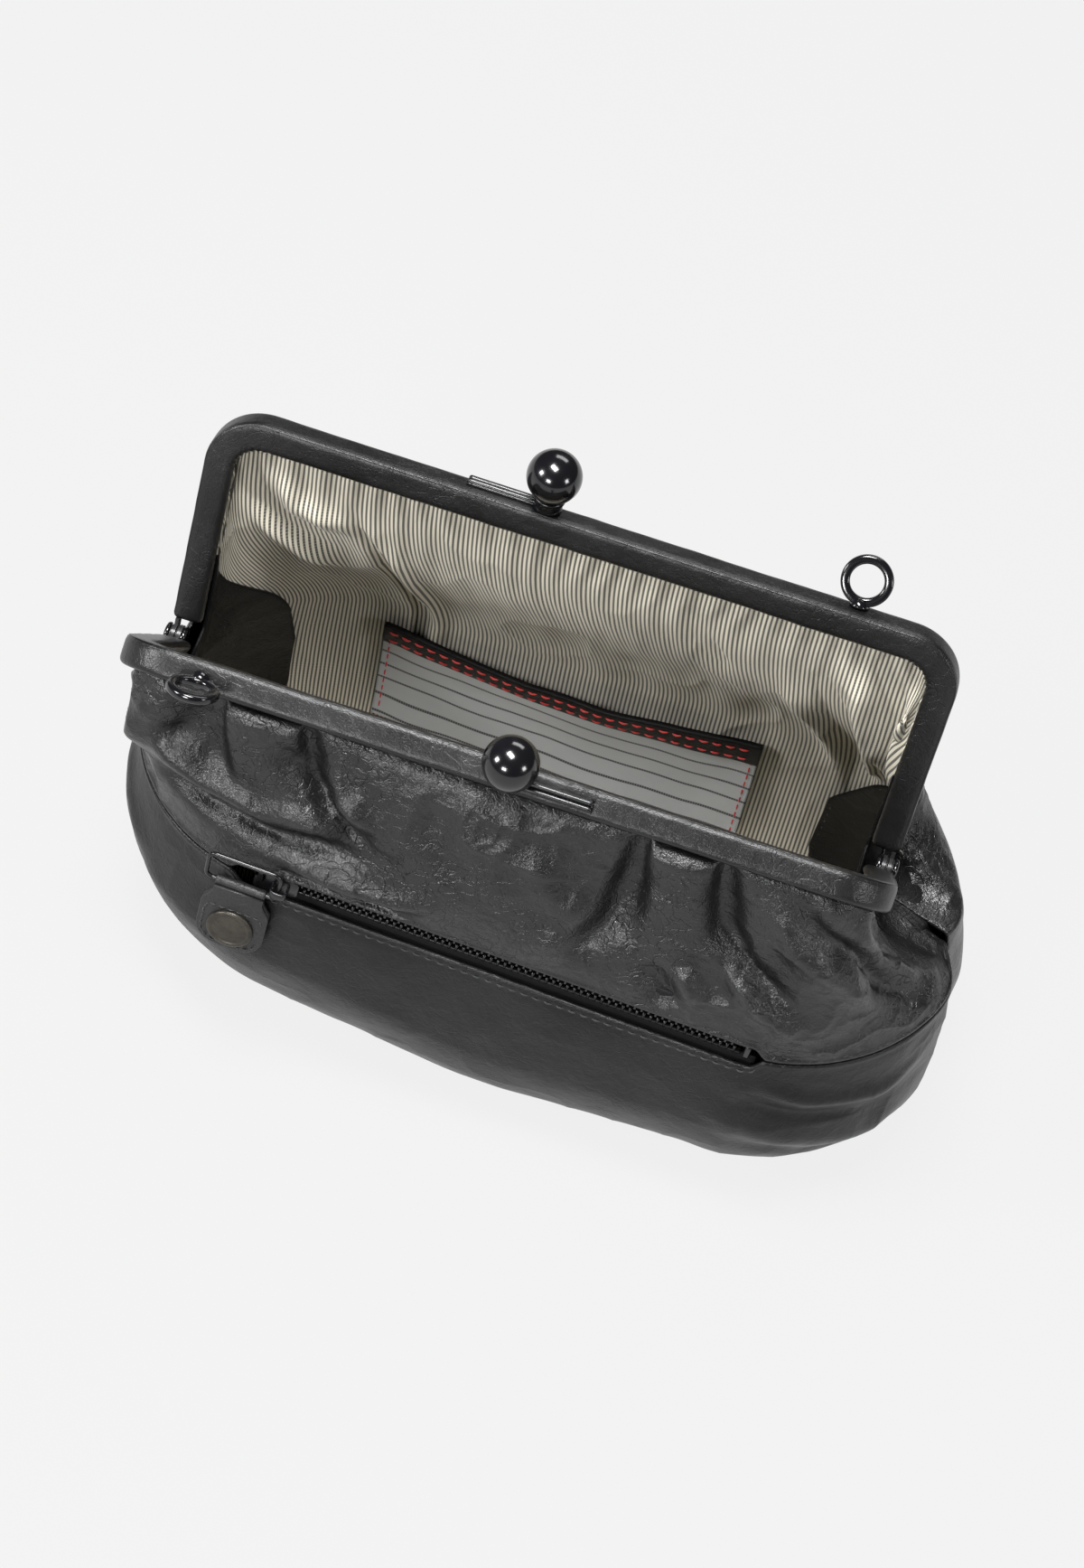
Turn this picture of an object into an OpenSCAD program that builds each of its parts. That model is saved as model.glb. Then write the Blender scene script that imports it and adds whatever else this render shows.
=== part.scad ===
// Kiss lock frame purse, open, standing on its base.
// Origin: on the ground under the middle of the hinge line. Z is up, the front faces -Y, millimetres.

/* [Frame] */
// Overall width of each frame half
frame_w = 198; // [170:1:230]
// Height from the hinge axis to the outer edge of the bar
frame_h = 68; // [58:1:85]
// Outer radius of the two upper corners
frame_corner_r = 15; // [12:1:24]
// Width of the leather cover in the plane of the frame
frame_face = 8; // [7.4:0.1:11]
// Thickness of one leather covered half
frame_t = 7.6; // [7.2:0.1:10]
// Thickness of the leather cover
wrap_t = 1; // [0.8:0.1:1.2]
// Sheet thickness of the steel channel
steel_t = 1; // [0.8:0.1:1.2]
// Width of the slot that holds the edge of the bag
slot_w = 2.6; // [2:0.1:3]
// Diameter of the paper cord in the channel
cord_d = 2.2; // [1.6:0.1:2.4]

/* [Opening] */
// Forward lean of the open front half from upright
front_lean = 42; // [20:1:50]
// Backward lean of the open rear half from upright
rear_lean = 17; // [10:1:40]
// Gap between the two halves when they are shut
mate_gap = 0.3; // [0.2:0.1:1]

/* [Hinge] */
// Height of the hinge axis above the ground
hinge_z = 80; // [70:1:100]
// Diameter of the hinge rivet
rivet_d = 2.4; // [2:0.1:3]
// Diameter of the rivet head
rivet_head_d = 6.2; // [5:0.1:7]
// Radius of the ear round the rivet
ear_r = 3.2; // [2.8:0.1:3.6]
// Radial play of the rivet in the ears
pin_play = 0.1; // [0.05:0.01:0.1]

/* [Clasp] */
// Diameter of the two balls
ball_d = 14; // [10:0.5:14]
// Sideways place of the front ball
ball_x_front = 2.3; // [2.3:0.1:12]
// Sideways place of the rear ball
ball_x_rear = -12; // [-22:0.1:-12]
// Distance from the foot of the collar to the ball's centre
ball_reach = 12; // [11:0.1:16]
// Lean of the balls towards the other half
ball_tilt = 18; // [10:1:20]
// Length of the ribbed strip beside each ball
strip_len = 17.5; // [10:0.5:30]

/* [Strap rings] */
// Diameter of the hole in each strap ring
ring_hole_d = 8.6; // [6:0.1:12]
// Width of the ring's metal
ring_w = 2.3; // [1.8:0.1:3]
// Thickness of the ring
ring_t = 2.4; // [1.8:0.1:3]
// Sideways place of the front ring
ring_x_front = -76; // [-76:1:-40]
// Sideways place of the rear ring
ring_x_rear = 69; // [40:1:76]
// Outward lean of the rings
ring_tilt = 20; // [0:1:30]

/* [Bag] */
// Largest width of the bag
body_w = 231; // [216:1:260]
// How far the bag slumps to the right of the frame
body_shift = 11.5; // [0:0.5:14]
// Distance from the hinge plane to the front of the belly
belly_front = 62; // [56:1:70]
// Distance from the hinge plane to the back of the belly
belly_rear = 47; // [42:1:60]
// Height of the widest part of the belly
belly_z = 35; // [28:1:42]
// How far the belly draws in at the base
base_inset = 20; // [14:1:24]
// Half length of the straight stretch of the belly
belly_straight = 62; // [56:1:70]
// Thickness of the leather
leather_t = 1.2; // [1:0.1:1.4]
// Thickness of the lining cloth
lining_t = 0.8; // [0.6:0.1:1.2]
// Depth of the front lining under the outside of the leather
lining_depth_front = 8.8; // [8.6:0.1:10]
// Depth of the rear lining under the outside of the leather
lining_depth_rear = 4; // [3:0.1:6]

/* [Front zip] */
// Height of the zip seam above the ground
seam_z = 68; // [60:1:70]
// How far the seam draws in from the belly
seam_inset = 2.5; // [2:0.1:4]
// Slope of the zip down to the right
zip_slope = 2.8; // [0:0.1:3.5]
// Place of the first tooth
zip_x0 = -44; // [-48:1:-30]
// Length of the row of teeth
zip_len = 120; // [90:1:122]
// Distance from tooth to tooth
tooth_pitch = 1.85; // [1.5:0.05:2.5]
// Height of the slot in the leather that shows the teeth
zip_slot = 8; // [7.6:0.1:9]
// Width of each zip tape
tape_w = 9; // [8:0.5:10]

/* [Zip pull] */
// Width of the wire loop between its wire centres
loop_w = 19; // [17:0.5:22]
// Height of the wire loop between its wire centres
loop_h = 9.6; // [8:0.1:12]
// Diameter of the loop's wire
loop_d = 1.2; // [1:0.1:1.4]
// Width of the leather tab
tab_w = 18; // [16:0.5:20]
// Length of the leather tab below the loop
tab_len = 22; // [20:0.5:24]
// Thickness of the leather tab
tab_t = 2.4; // [2.2:0.1:2.6]
// Diameter of the round stud
stud_d = 12.4; // [8:0.1:13]

/* [Slip pocket] */
// Left edge of the pocket
pocket_x0 = -50; // [-60:1:-30]
// Right edge of the pocket
pocket_x1 = 57; // [40:1:62]
// Share of the way from the seam line to the base where the pocket starts
pocket_top = 0.05; // [0.03:0.01:0.12]
// Share of the way from the seam line to the base where the pocket ends
pocket_low = 0.53; // [0.4:0.01:0.6]
// Height of the leather binding
binding_h = 5.5; // [4:0.5:8]

/* [Hidden] */
$fn = 48;

// Small clearance between pieces of one body, and how far a cut runs past what it cuts
fit_gap = 0.05;
cut = 1;
// Frame section, centred on its own middle
channel_w = frame_face - 2 * wrap_t - 2 * fit_gap;
channel_t = frame_t - 2 * wrap_t - 2 * fit_gap;
cover_round = 2;
cord_gap = 1;
section_y = -mate_gap / 2 - frame_t / 2;
leg_x = frame_w / 2 - frame_face / 2;
leg_start = 5;
// Hinge stack, measured inwards from the outside of the channel wall
ear_t = steel_t;
washer_t = 0.4;
stack_gap = 0.1;
rear_ear_x = leg_x + channel_w / 2 - ear_t;
washer_x = rear_ear_x - stack_gap - washer_t;
front_ear_x = washer_x - stack_gap - ear_t;
head_t = 1.4;
head_edge = 0.7;
head_step = 0.6;
washer_inset = 0.4;
ear_root = 7;
root_over = 0.5;
// Clasp
rib_r = 0.75;
strip_base = 0.9;
strip_y = section_y - 0.7;
strip_start = 3.6;
collar_r = 4.1;
collar_h = 4.6;
collar_foot = 1.6;
collar_waist = 0.8;
collar_lip = 1.6;
stem_r = 1.5;
stem_play = 0.05;
stem_start = 2;
// Strap ring
ring_r = ring_hole_d / 2 + ring_w;
ring_round = 0.5;
ring_rise = 0.3;
ring_y = section_y - 1;
foot_w = 5;
foot_t = 2;
foot_h = 1.6;
// Skin of the bag
mouth_inset = frame_face / 2;
mouth_start = 3;
mouth_gap = 0.6;
mouth_o = -(mate_gap / 2 + frame_t + mouth_gap + leather_t);
side_y = -5;
side_gap = 0.4;
base_gap = 0.6;
base_shares = [0.06, 0.35, 0.7, 1];
corner_share = 0.28;
belly_power = 2.4;
wall_end = 1;
belly_share = 0.4;
wall_power = 1.1;
mouth_pull = 0.45;
seam_pull = 0.7;
skin_step = 0.002;
lining_start = 0.24;
lining_end = 1.9;
lining_edge = 0.07;
patch_start = 0.6;
patch_end = 1.25;
patch_edge = 0.12;
patch_gap = 1.35;
patch_t = 1;
// Zip
seam_gap = 0.4;
slot_margin = 4;
slot_ease = 7;
zip_mid = zip_x0 + zip_len / 2;
tape_gap = 1.1;
tape_t = 0.5;
tape_end_left = 10;
tape_end_right = 4;
row_gap = 0.6;
row_h = 1.9;
tooth_w = 0.55 * tooth_pitch;
tooth_t = 1.8;
tooth_overlap = 0.8;
tooth_start_up = 0.2;
tooth_start_low = 0.45;
spine_t = 1.2;
spine_h = 1.2;
seam_y = -belly_front + seam_inset - side_gap / 2;
tape_y = seam_y + leather_t + tape_gap + tape_t / 2;
slider_l = 9;
slider_h = 6.8;
slider_ahead = 2.6;
slider_plate = 0.9;
slider_round = 1.5;
slider_play = 0.3;
slider_x = zip_x0 - slider_ahead;
slider_out = tape_y - tooth_t / 2 - slider_play;
slider_in = tape_y + tooth_t / 2 + slider_play;
lip_w = 0.6;
post_x = -3.1;
post_l = 2.4;
post_w = 0.9;
crown_w = 2.2;
crown_t = 0.8;
crown_leg_x = 1.5;
wire_play = 0.1;
loop_out = 1.75;
loop_y = seam_y - loop_out;
loop_low = -3;
loop_corner = 2;
stop_gap = 0.5;
stop_w = 1.6;
stop_t = 3.2;
bag_t = 0.6;
bag_low = -44;
bag_top = 9;
bag_gap = 0.5;
bag_y = slider_in + slider_plate + bag_gap;
// Pull tab
tab_tilt = 6;
tab_out = 0.6;
eye_t = 0.6;
eye_r = loop_d / 2 + wire_play;
tab_neck = 5;
neck_play = 1.8;
neck_w = loop_w - 2 * loop_corner - neck_play;
shoulder = 2;
tab_round = 3;
shoulder_round = 0.5;
stud_t = 1.2;
stud_edge = 0.8;
stud_step = 0.6;
stud_drop = 14;
stud_back_r = 3;
stud_back_t = 0.5;
shank_r = 1.4;
// Pocket
pocket_gap = 0.9;
pocket_t = 0.6;
binding_wall = 0.5;
pocket_depth = lining_depth_rear + lining_t + pocket_gap;
binding_share = binding_h * belly_share / (seam_z - belly_z);
binding_over = 0.01;

function unit3(v) = v / max(norm(v), 0.000001);

// Point of a frame half from its place when shut: x, thickness y, height h. side is -1 front, 1 rear
function leaned(side, x, y, h) =
    let (a = side < 0 ? front_lean : rear_lean)
    [x, -side * (y * cos(a) - h * sin(a)), hinge_z + h * cos(a) + y * sin(a)];

// The line on the frame where the skin starts, as x and height, for a share s of its length
function mouth_line(s) =
    let (
        r = frame_corner_r - mouth_inset,
        leg = frame_h - frame_corner_r - mouth_start,
        bend = r * PI / 2,
        bar = frame_w - 2 * frame_corner_r,
        total = 2 * leg + 2 * bend + bar,
        half = s <= 0.5 ? s : 1 - s,
        side = s <= 0.5 ? -1 : 1,
        d = half * total,
        a = (d - leg) / r * 180 / PI
    )
    d < leg ? [side * leg_x, mouth_start + d]
    : d < leg + bend ? [side * (bar / 2 + r * cos(a)), frame_h - frame_corner_r + r * sin(a)]
    : [side * (bar / 2 - (d - leg - bend)), frame_h - mouth_inset];

function mouth(side, s) =
    let (p = mouth_line(s))
    leaned(side, p[0], mouth_o, p[1]);

// Outline of the bag at one height: a straight stretch with a quarter ellipse at each end
function outline(side, s, inset, z) =
    let (
        half = s <= 0.5 ? s : 1 - s,
        dir = s <= 0.5 ? -1 : 1,
        depth = (side < 0 ? belly_front + side_y : belly_rear - side_y) - inset,
        end = body_w / 2 - inset - belly_straight,
        a = min(half / corner_share, 1) * 90,
        run = half > corner_share ? belly_straight * (0.5 - half) / (0.5 - corner_share) : belly_straight
    )
    [body_shift + dir * (run + end * cos(a)), side_y + side * (side_gap / 2 + depth * sin(a)), z];

function smooth(t) =
    let (c = min(max(t, 0), 1))
    c * c * (3 - 2 * c);

// Half height of the seam gap at one x: wide along the zip and closed beyond it
function seam_half(x) =
    let (
        low = smooth((x - (zip_x0 - tape_end_left - slot_margin - slot_ease)) / slot_ease),
        high = smooth((zip_x0 + zip_len + slot_margin + slot_ease - x) / slot_ease)
    )
    seam_gap / 2 + (zip_slot - seam_gap) / 2 * min(low, high);

// Drop of the front seam at one x, from the slope of the zip
function seam_drop(x) =
    tan(zip_slope) * min(max(x - zip_mid, -zip_len / 2 - tape_end_left), zip_len / 2 + tape_end_left);

// Inset of the outline at a height, for a wall that starts at a height top
function inset_at(z, top) =
    z > belly_z ? seam_inset * pow((z - belly_z) / (top - belly_z), 2)
    : base_inset * (1 - pow(max(1 - pow((belly_z - z) / belly_z, belly_power), 0), 1 / belly_power));

// Height of the wall for a share w from the seam down to the base
function wall_z(top, w) =
    w < belly_share ? top + (belly_z - top) * w / belly_share
    : belly_z - (belly_z - wall_end) * pow(sin(90 * (w - belly_share) / (1 - belly_share)), 1 / wall_power);

// The skin: w runs from 0 at the mouth to 1 at the seam and 2 at the edge of the base
function skin(side, s, w, slot) =
    let (
        x = outline(side, s, seam_inset, seam_z)[0],
        half = side < 0 ? slot * seam_half(x) : 0,
        mid = side < 0 ? seam_z - seam_drop(x) : seam_z
    )
    w <= 1 ? upper_skin(side, s, w, mid + half)
    : lower_skin(side, s, w - 1, mid - half);

function lower_skin(side, s, w, top) =
    let (z = wall_z(top, w))
    outline(side, s, inset_at(z, top), z);

function upper_skin(side, s, w, top) =
    let (
        m = mouth(side, s),
        r = outline(side, s, seam_inset, top),
        out = unit3([r[0] - m[0], side * max(side * (r[1] - m[1]), 0), 0]),
        start = mouth_pull * norm(r - m) * sqrt(0.5) * (out + [0, 0, -1]),
        end = [0, 0, -seam_pull * norm(r - m)],
        w2 = w * w,
        w3 = w2 * w
    )
    m * (2 * w3 - 3 * w2 + 1) + start * (w3 - 2 * w2 + w) + r * (3 * w2 - 2 * w3) + end * (w3 - w2);

// Point of the skin moved inwards by a depth. slot is 1 for leather and 0 for what runs behind the zip
function sunk(side, s, w, depth, slot) =
    let (
        s0 = max(s - skin_step, 0),
        s1 = min(s + skin_step, 1),
        w0 = max(w - skin_step, w <= 1 ? 0 : 1 + skin_step / 10),
        w1 = min(w + skin_step, w <= 1 ? 1 : 2),
        along = skin(side, s1, w, slot) - skin(side, s0, w, slot),
        down = skin(side, s, w1, slot) - skin(side, s, w0, slot),
        n = unit3(cross(along, down))
    )
    skin(side, s, w, slot) + side * n * -depth;

function row(side, s0, s1, ns, w, depth, slot) =
    [for (i = [0:ns]) sunk(side, s0 + (s1 - s0) * i / ns, w, depth, slot)];

function grid(side, s0, s1, ns, w0, w1, nw, depth, slot) =
    [for (j = [0:nw]) row(side, s0, s1, ns, w0 + (w1 - w0) * j / nw, depth, slot)];

// Closed sheet between two grids of the same size
module sheet(outer, inner, flip) {
    rows = len(outer);
    cols = len(outer[0]);
    count = rows * cols;
    points = concat([for (r = outer) each r], [for (r = inner) each r]);
    faces = concat(
        [for (j = [0:rows - 2]) for (i = [0:cols - 2])
            let (a = j * cols + i, b = a + 1, c = a + cols + 1, d = a + cols)
            each [[a, b, c], [a, c, d]]],
        [for (j = [0:rows - 2]) for (i = [0:cols - 2])
            let (a = count + j * cols + i, b = a + 1, c = a + cols + 1, d = a + cols)
            each [[a, c, b], [a, d, c]]],
        [for (i = [0:cols - 2])
            let (a = i, b = i + 1)
            each [[a, a + count, b + count], [a, b + count, b]]],
        [for (i = [0:cols - 2])
            let (a = (rows - 1) * cols + i, b = a + 1)
            each [[a, b + count, a + count], [a, b, b + count]]],
        [for (j = [0:rows - 2])
            let (a = j * cols, b = a + cols)
            each [[a, b + count, a + count], [a, b, b + count]]],
        [for (j = [0:rows - 2])
            let (a = j * cols + cols - 1, b = a + cols)
            each [[a, a + count, b + count], [a, b + count, b]]]
    );
    polyhedron(points, flip ? [for (f = faces) [f[0], f[2], f[1]]] : faces);
}

module skin_sheet(side, s0, s1, ns, w0, w1, nw, depth, t, slot) {
    sheet(
        grid(side, s0, s1, ns, w0, w1, nw, depth, slot),
        grid(side, s0, s1, ns, w0, w1, nw, depth + t, slot),
        side > 0);
}

// Frame halves

module on_half(side) {
    translate([0, 0, hinge_z])
        rotate([side < 0 ? front_lean : -rear_lean, 0, 0])
            mirror([0, side < 0 ? 0 : 1, 0])
                children();
}

// Sweeps a flat section, x outwards and y through the thickness, along the U of the frame
module along_frame() {
    for (side = [0, 1]) {
        mirror([side, 0, 0]) {
            translate([leg_x, section_y, leg_start])
                linear_extrude(frame_h - frame_corner_r - leg_start)
                    children();
            translate([frame_w / 2 - frame_corner_r, section_y, frame_h - frame_corner_r])
                rotate([90, 0, 0])
                    rotate_extrude(angle = 90)
                        translate([frame_corner_r - frame_face / 2, 0])
                            children();
        }
    }
    translate([-(frame_w / 2 - frame_corner_r), section_y, frame_h - frame_face / 2])
        rotate([0, 90, 0])
            linear_extrude(frame_w - 2 * frame_corner_r)
                mirror([1, 0])
                    children();
}

module rounded_box(w, t, r) {
    square([w - 2 * r, t], center = true);
    square([w, t - 2 * r], center = true);
    for (x = [-1, 1]) {
        for (y = [-1, 1]) {
            translate([x * (w / 2 - r), y * (t / 2 - r)])
                circle(r);
        }
    }
}

module cover_section() {
    difference() {
        rounded_box(frame_face, frame_t, cover_round);
        square([channel_w + 2 * fit_gap, channel_t + 2 * fit_gap], center = true);
        translate([-frame_face / 2, 0])
            square([frame_face, slot_w], center = true);
    }
}

module channel_section() {
    difference() {
        square([channel_w, channel_t], center = true);
        translate([-steel_t, 0])
            square([channel_w, slot_w], center = true);
    }
}

module cord_section() {
    translate([channel_w / 2 - steel_t - fit_gap - cord_d / 2, 0])
        circle(cord_d / 2);
}

// Ear that carries the hinge rivet, with its lower edge outside at x
module ear(x) {
    root_y = section_y - slot_w / 2;
    difference() {
        union() {
            translate([x, 0, 0])
                rotate([0, 90, 0])
                    cylinder(h = ear_t, r = ear_r);
            translate([x, -ear_r, 0])
                cube([ear_t, ear_r - mate_gap, leg_start - fit_gap]);
            translate([x, root_y, leg_start - cut])
                cube([ear_t, max(slot_w, root_over - ear_r - root_y), ear_root + cut]);
        }
        translate([x - cut, 0, 0])
            rotate([0, 90, 0])
                cylinder(h = ear_t + 2 * cut, r = rivet_d / 2 + pin_play);
    }
}

module frame_channel(side) {
    ear_x = side < 0 ? front_ear_x : rear_ear_x;
    color("dimgray")
        on_half(side) {
            along_frame() channel_section();
            for (m = [0, 1]) {
                mirror([m, 0, 0]) {
                    ear(ear_x);
                    translate([ear_x, section_y - slot_w / 2 - root_over, leg_start])
                        cube([leg_x + channel_w / 2 - ear_x, slot_w + 2 * root_over, ear_root]);
                }
            }
        }
}

module frame_cover(side) {
    color("#1c1b1d")
        on_half(side)
            along_frame() cover_section();
}

module frame_cord(side) {
    color("tan")
        on_half(side)
            intersection() {
                along_frame() cord_section();
                translate([-frame_w, -frame_w, leg_start + ear_root + cord_gap])
                    cube([2 * frame_w, 2 * frame_w, frame_h]);
            }
}

// Clasp

module on_clasp(side) {
    x = side < 0 ? ball_x_front : ball_x_rear;
    on_half(side)
        translate([x, section_y, frame_h + fit_gap])
            children();
}

module clasp_plate(side) {
    dir = side < 0 ? 0 : 1;
    color("#101012")
        on_clasp(side)
            difference() {
                union() {
                    mirror([dir, 0, 0]) {
                        translate([0, strip_y - section_y - 2 * rib_r, 0])
                            cube([strip_start + strip_len, 4 * rib_r, strip_base]);
                        for (y = [-rib_r, rib_r]) {
                            translate([0, strip_y - section_y + y, strip_base])
                                rotate([0, 90, 0])
                                    cylinder(h = strip_start + strip_len, r = rib_r);
                        }
                    }
                    cylinder(h = collar_foot, r = collar_r - collar_waist);
                    rotate([-ball_tilt, 0, 0])
                        translate([0, 0, collar_foot / 2])
                            cylinder(h = collar_h, r = collar_r - collar_waist);
                    rotate([-ball_tilt, 0, 0])
                        translate([0, 0, collar_h - collar_lip / 2])
                            cylinder(h = collar_lip, r = collar_r);
                }
                rotate([-ball_tilt, 0, 0])
                    translate([0, 0, ball_reach])
                        sphere(ball_d / 2 + stem_play, $fn = 96);
                rotate([-ball_tilt, 0, 0])
                    translate([0, 0, stem_start - 2 * stem_play])
                        cylinder(h = ball_reach, r = stem_r + stem_play);
                translate([-frame_w, -frame_w, -frame_w])
                    cube([2 * frame_w, 2 * frame_w, frame_w]);
            }
}

module clasp_ball(side) {
    color("#0c0c0e")
        on_clasp(side)
            rotate([-ball_tilt, 0, 0]) {
                translate([0, 0, ball_reach])
                    sphere(ball_d / 2, $fn = 96);
                translate([0, 0, stem_start])
                    cylinder(h = ball_reach - 2 * stem_start, r = stem_r);
            }
}

module strap_ring(side) {
    x = side < 0 ? ring_x_front : ring_x_rear;
    color("#101012")
        on_half(side)
            translate([x, ring_y, frame_h + fit_gap])
                difference() {
                    rotate([ring_tilt, 0, 0]) {
                        translate([0, 0, ring_r + ring_rise])
                            rotate([90, 0, 0])
                                rotate_extrude($fn = 72)
                                    translate([ring_hole_d / 2 + ring_w / 2, 0])
                                        rounded_box(ring_w, ring_t, ring_round);
                        translate([-foot_w / 2, -foot_t / 2, -cut])
                            cube([foot_w, foot_t, cut + ring_rise + foot_h]);
                    }
                    translate([-ring_r, -ring_r, -2 * ring_r])
                        cube([2 * ring_r, 2 * ring_r, 2 * ring_r]);
                }
}

// Hinges, on the right; the left is its mirror image

module hinge_side(left) {
    translate([0, 0, hinge_z])
        mirror([left ? 1 : 0, 0, 0])
            children();
}

module rod_x(x, length, r) {
    translate([x, 0, 0])
        rotate([0, 90, 0])
            cylinder(h = length, r = r);
}

module hinge_rivet(left) {
    head_in = front_ear_x - stack_gap - head_t;
    head_out = rear_ear_x + ear_t + 2 * stack_gap + washer_t;
    color("#0e0e10")
        hinge_side(left) {
            rod_x(head_in, head_out - head_in + head_t, rivet_d / 2);
            rod_x(head_in, head_t, rivet_head_d / 2);
            rod_x(head_out, head_t * head_step, rivet_head_d / 2);
            rod_x(head_out, head_t, rivet_head_d / 2 - head_edge);
        }
}

module washer(x) {
    difference() {
        rod_x(x, washer_t, rivet_head_d / 2 - washer_inset);
        rod_x(x - cut, washer_t + 2 * cut, rivet_d / 2 + pin_play);
    }
}

module hinge_washers(left) {
    color("#2a2a2d")
        hinge_side(left) {
            washer(washer_x);
            washer(rear_ear_x + ear_t + stack_gap);
        }
}

// Leather

module upper_front_panel() {
    color("#242326")
        skin_sheet(-1, 0, 1, 40, 0, 1, 7, 0, leather_t, 1);
}

module lower_front_panel() {
    color("#201f22")
        skin_sheet(-1, 0, 1, 40, 1 + skin_step / 10, 2, 8, 0, leather_t, 1);
}

// Row under the bag, a share of the way from the rear edge of the base to its front seam
function base_row(share, z) =
    [for (i = [0:36])
        let (
            s = i / 36,
            rear = skin(1, s, 2, 0),
            front = outline(-1, s, inset_at(wall_end, seam_z) + leather_t + base_gap, 0),
            p = rear + (front - rear) * share
        )
        [p[0], p[1], z]];

module rear_panel() {
    color("#242326")
        sheet(
            concat(grid(1, 0, 1, 36, 0, 2, 15, 0, 0), [for (k = base_shares) base_row(k, 0)]),
            concat(grid(1, 0, 1, 36, 0, 2, 15, leather_t, 0), [for (k = base_shares) base_row(k, leather_t)]),
            true);
}

// Black leather inside each end of the bag, from the front wall round to the rear wall
module hinge_patch(left) {
    edge = left ? patch_edge : 1 - patch_edge;
    end = left ? 0 : 1;
    levels = [for (j = [0:7]) patch_start + (patch_end - patch_start) * j / 7];
    outer = leather_t + patch_gap;
    inner = outer + patch_t;
    color("#161517")
        sheet(
            [for (w = levels) concat(row(-1, edge, end, 6, w, outer, 0), row(1, end, edge, 6, w, outer, 0))],
            [for (w = levels) concat(row(-1, edge, end, 6, w, inner, 0), row(1, end, edge, 6, w, inner, 0))],
            left);
}

// Lining and pockets

module front_lining() {
    color("#d8d3bf")
        skin_sheet(-1, lining_edge, 1 - lining_edge, 32, lining_start, lining_end, 11,
            lining_depth_front, lining_t, 0);
}

module rear_lining() {
    color("#d8d3bf")
        skin_sheet(1, lining_edge, 1 - lining_edge, 32, lining_start, lining_end, 11,
            lining_depth_rear, lining_t, 0);
}

function share_at(x) =
    0.5 + (0.5 - corner_share) * min(max((x - body_shift) / belly_straight, -1), 1);

module slip_pocket() {
    color("#b9c3cc")
        skin_sheet(1, share_at(pocket_x0), share_at(pocket_x1), 16, 1 + pocket_top + binding_over,
            1 + pocket_low, 8, pocket_depth, pocket_t, 0);
}

module slip_pocket_binding() {
    top = 1 + pocket_top;
    s0 = share_at(pocket_x0);
    s1 = share_at(pocket_x1);
    wall = binding_wall + fit_gap;
    color("#161517")
        difference() {
            skin_sheet(1, s0, s1, 16, top, top + binding_share, 2,
                pocket_depth - wall, pocket_t + 2 * wall, 0);
            skin_sheet(1, s0 - binding_over, s1 + binding_over, 20, top + binding_over * 0.7,
                top + 2 * binding_share, 4, pocket_depth - fit_gap, pocket_t + 2 * fit_gap, 0);
        }
}

// Zip, drawn along its own line: x is the same as on the bag, z is measured from the line

module on_zip() {
    translate([zip_mid, 0, seam_z])
        rotate([0, zip_slope, 0])
            translate([-zip_mid, 0, 0])
                children();
}

module zip_tape(up) {
    low = row_gap + row_h + fit_gap;
    color("#0f0f11")
        on_zip()
            mirror([0, 0, up ? 0 : 1])
                translate([zip_x0 - tape_end_left, tape_y - tape_t / 2, low])
                    cube([tape_end_left + zip_len + tape_end_right, tape_t, tape_w]);
}

module zip_teeth(up) {
    count = floor(zip_len / tooth_pitch);
    start = up ? tooth_start_up : tooth_start_low;
    color("#17171a")
        on_zip()
            mirror([0, 0, up ? 0 : 1]) {
                translate([zip_x0, tape_y - spine_t / 2, row_gap + row_h - spine_h])
                    cube([zip_len, spine_t, spine_h]);
                for (i = [0:count - 1]) {
                    translate([zip_x0 + (i + start) * tooth_pitch, tape_y - tooth_t / 2, row_gap])
                        cube([tooth_w, tooth_t, row_h - spine_h + tooth_overlap]);
                }
            }
}

module zip_stop(x) {
    color("#17171a")
        on_zip()
            translate([x, tape_y - stop_t / 2, -row_gap - row_h])
                cube([stop_w, stop_t, 2 * (row_gap + row_h)]);
}

module zip_pocket_bag() {
    x0 = zip_x0 - tape_end_left / 2;
    length = tape_end_left / 2 + zip_len;
    low = -(row_gap + row_h + 2 * fit_gap + tape_w);
    front = tape_y - tape_t / 2;
    color("#1a1a1c")
        on_zip()
            translate([x0, 0, 0]) {
                translate([0, bag_y, bag_low])
                    cube([length, bag_t, bag_top - bag_low]);
                translate([0, tape_y + tape_t / 2 + fit_gap, bag_top - bag_t])
                    cube([length, bag_y - tape_y, bag_t]);
                translate([0, front, bag_low])
                    cube([length, bag_y - front + bag_t, bag_t]);
                translate([0, front, bag_low])
                    cube([length, bag_t, low - bag_low]);
                for (x = [0, length - bag_t]) {
                    translate([x, front, bag_low])
                        cube([bag_t, bag_y - front + bag_t, low - bag_low]);
                }
            }
}

// Slider and pull

module rounded_plate(w, h, t, r) {
    rotate([90, 0, 0])
        linear_extrude(t)
            rounded_box(w, h, r);
}

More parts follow.
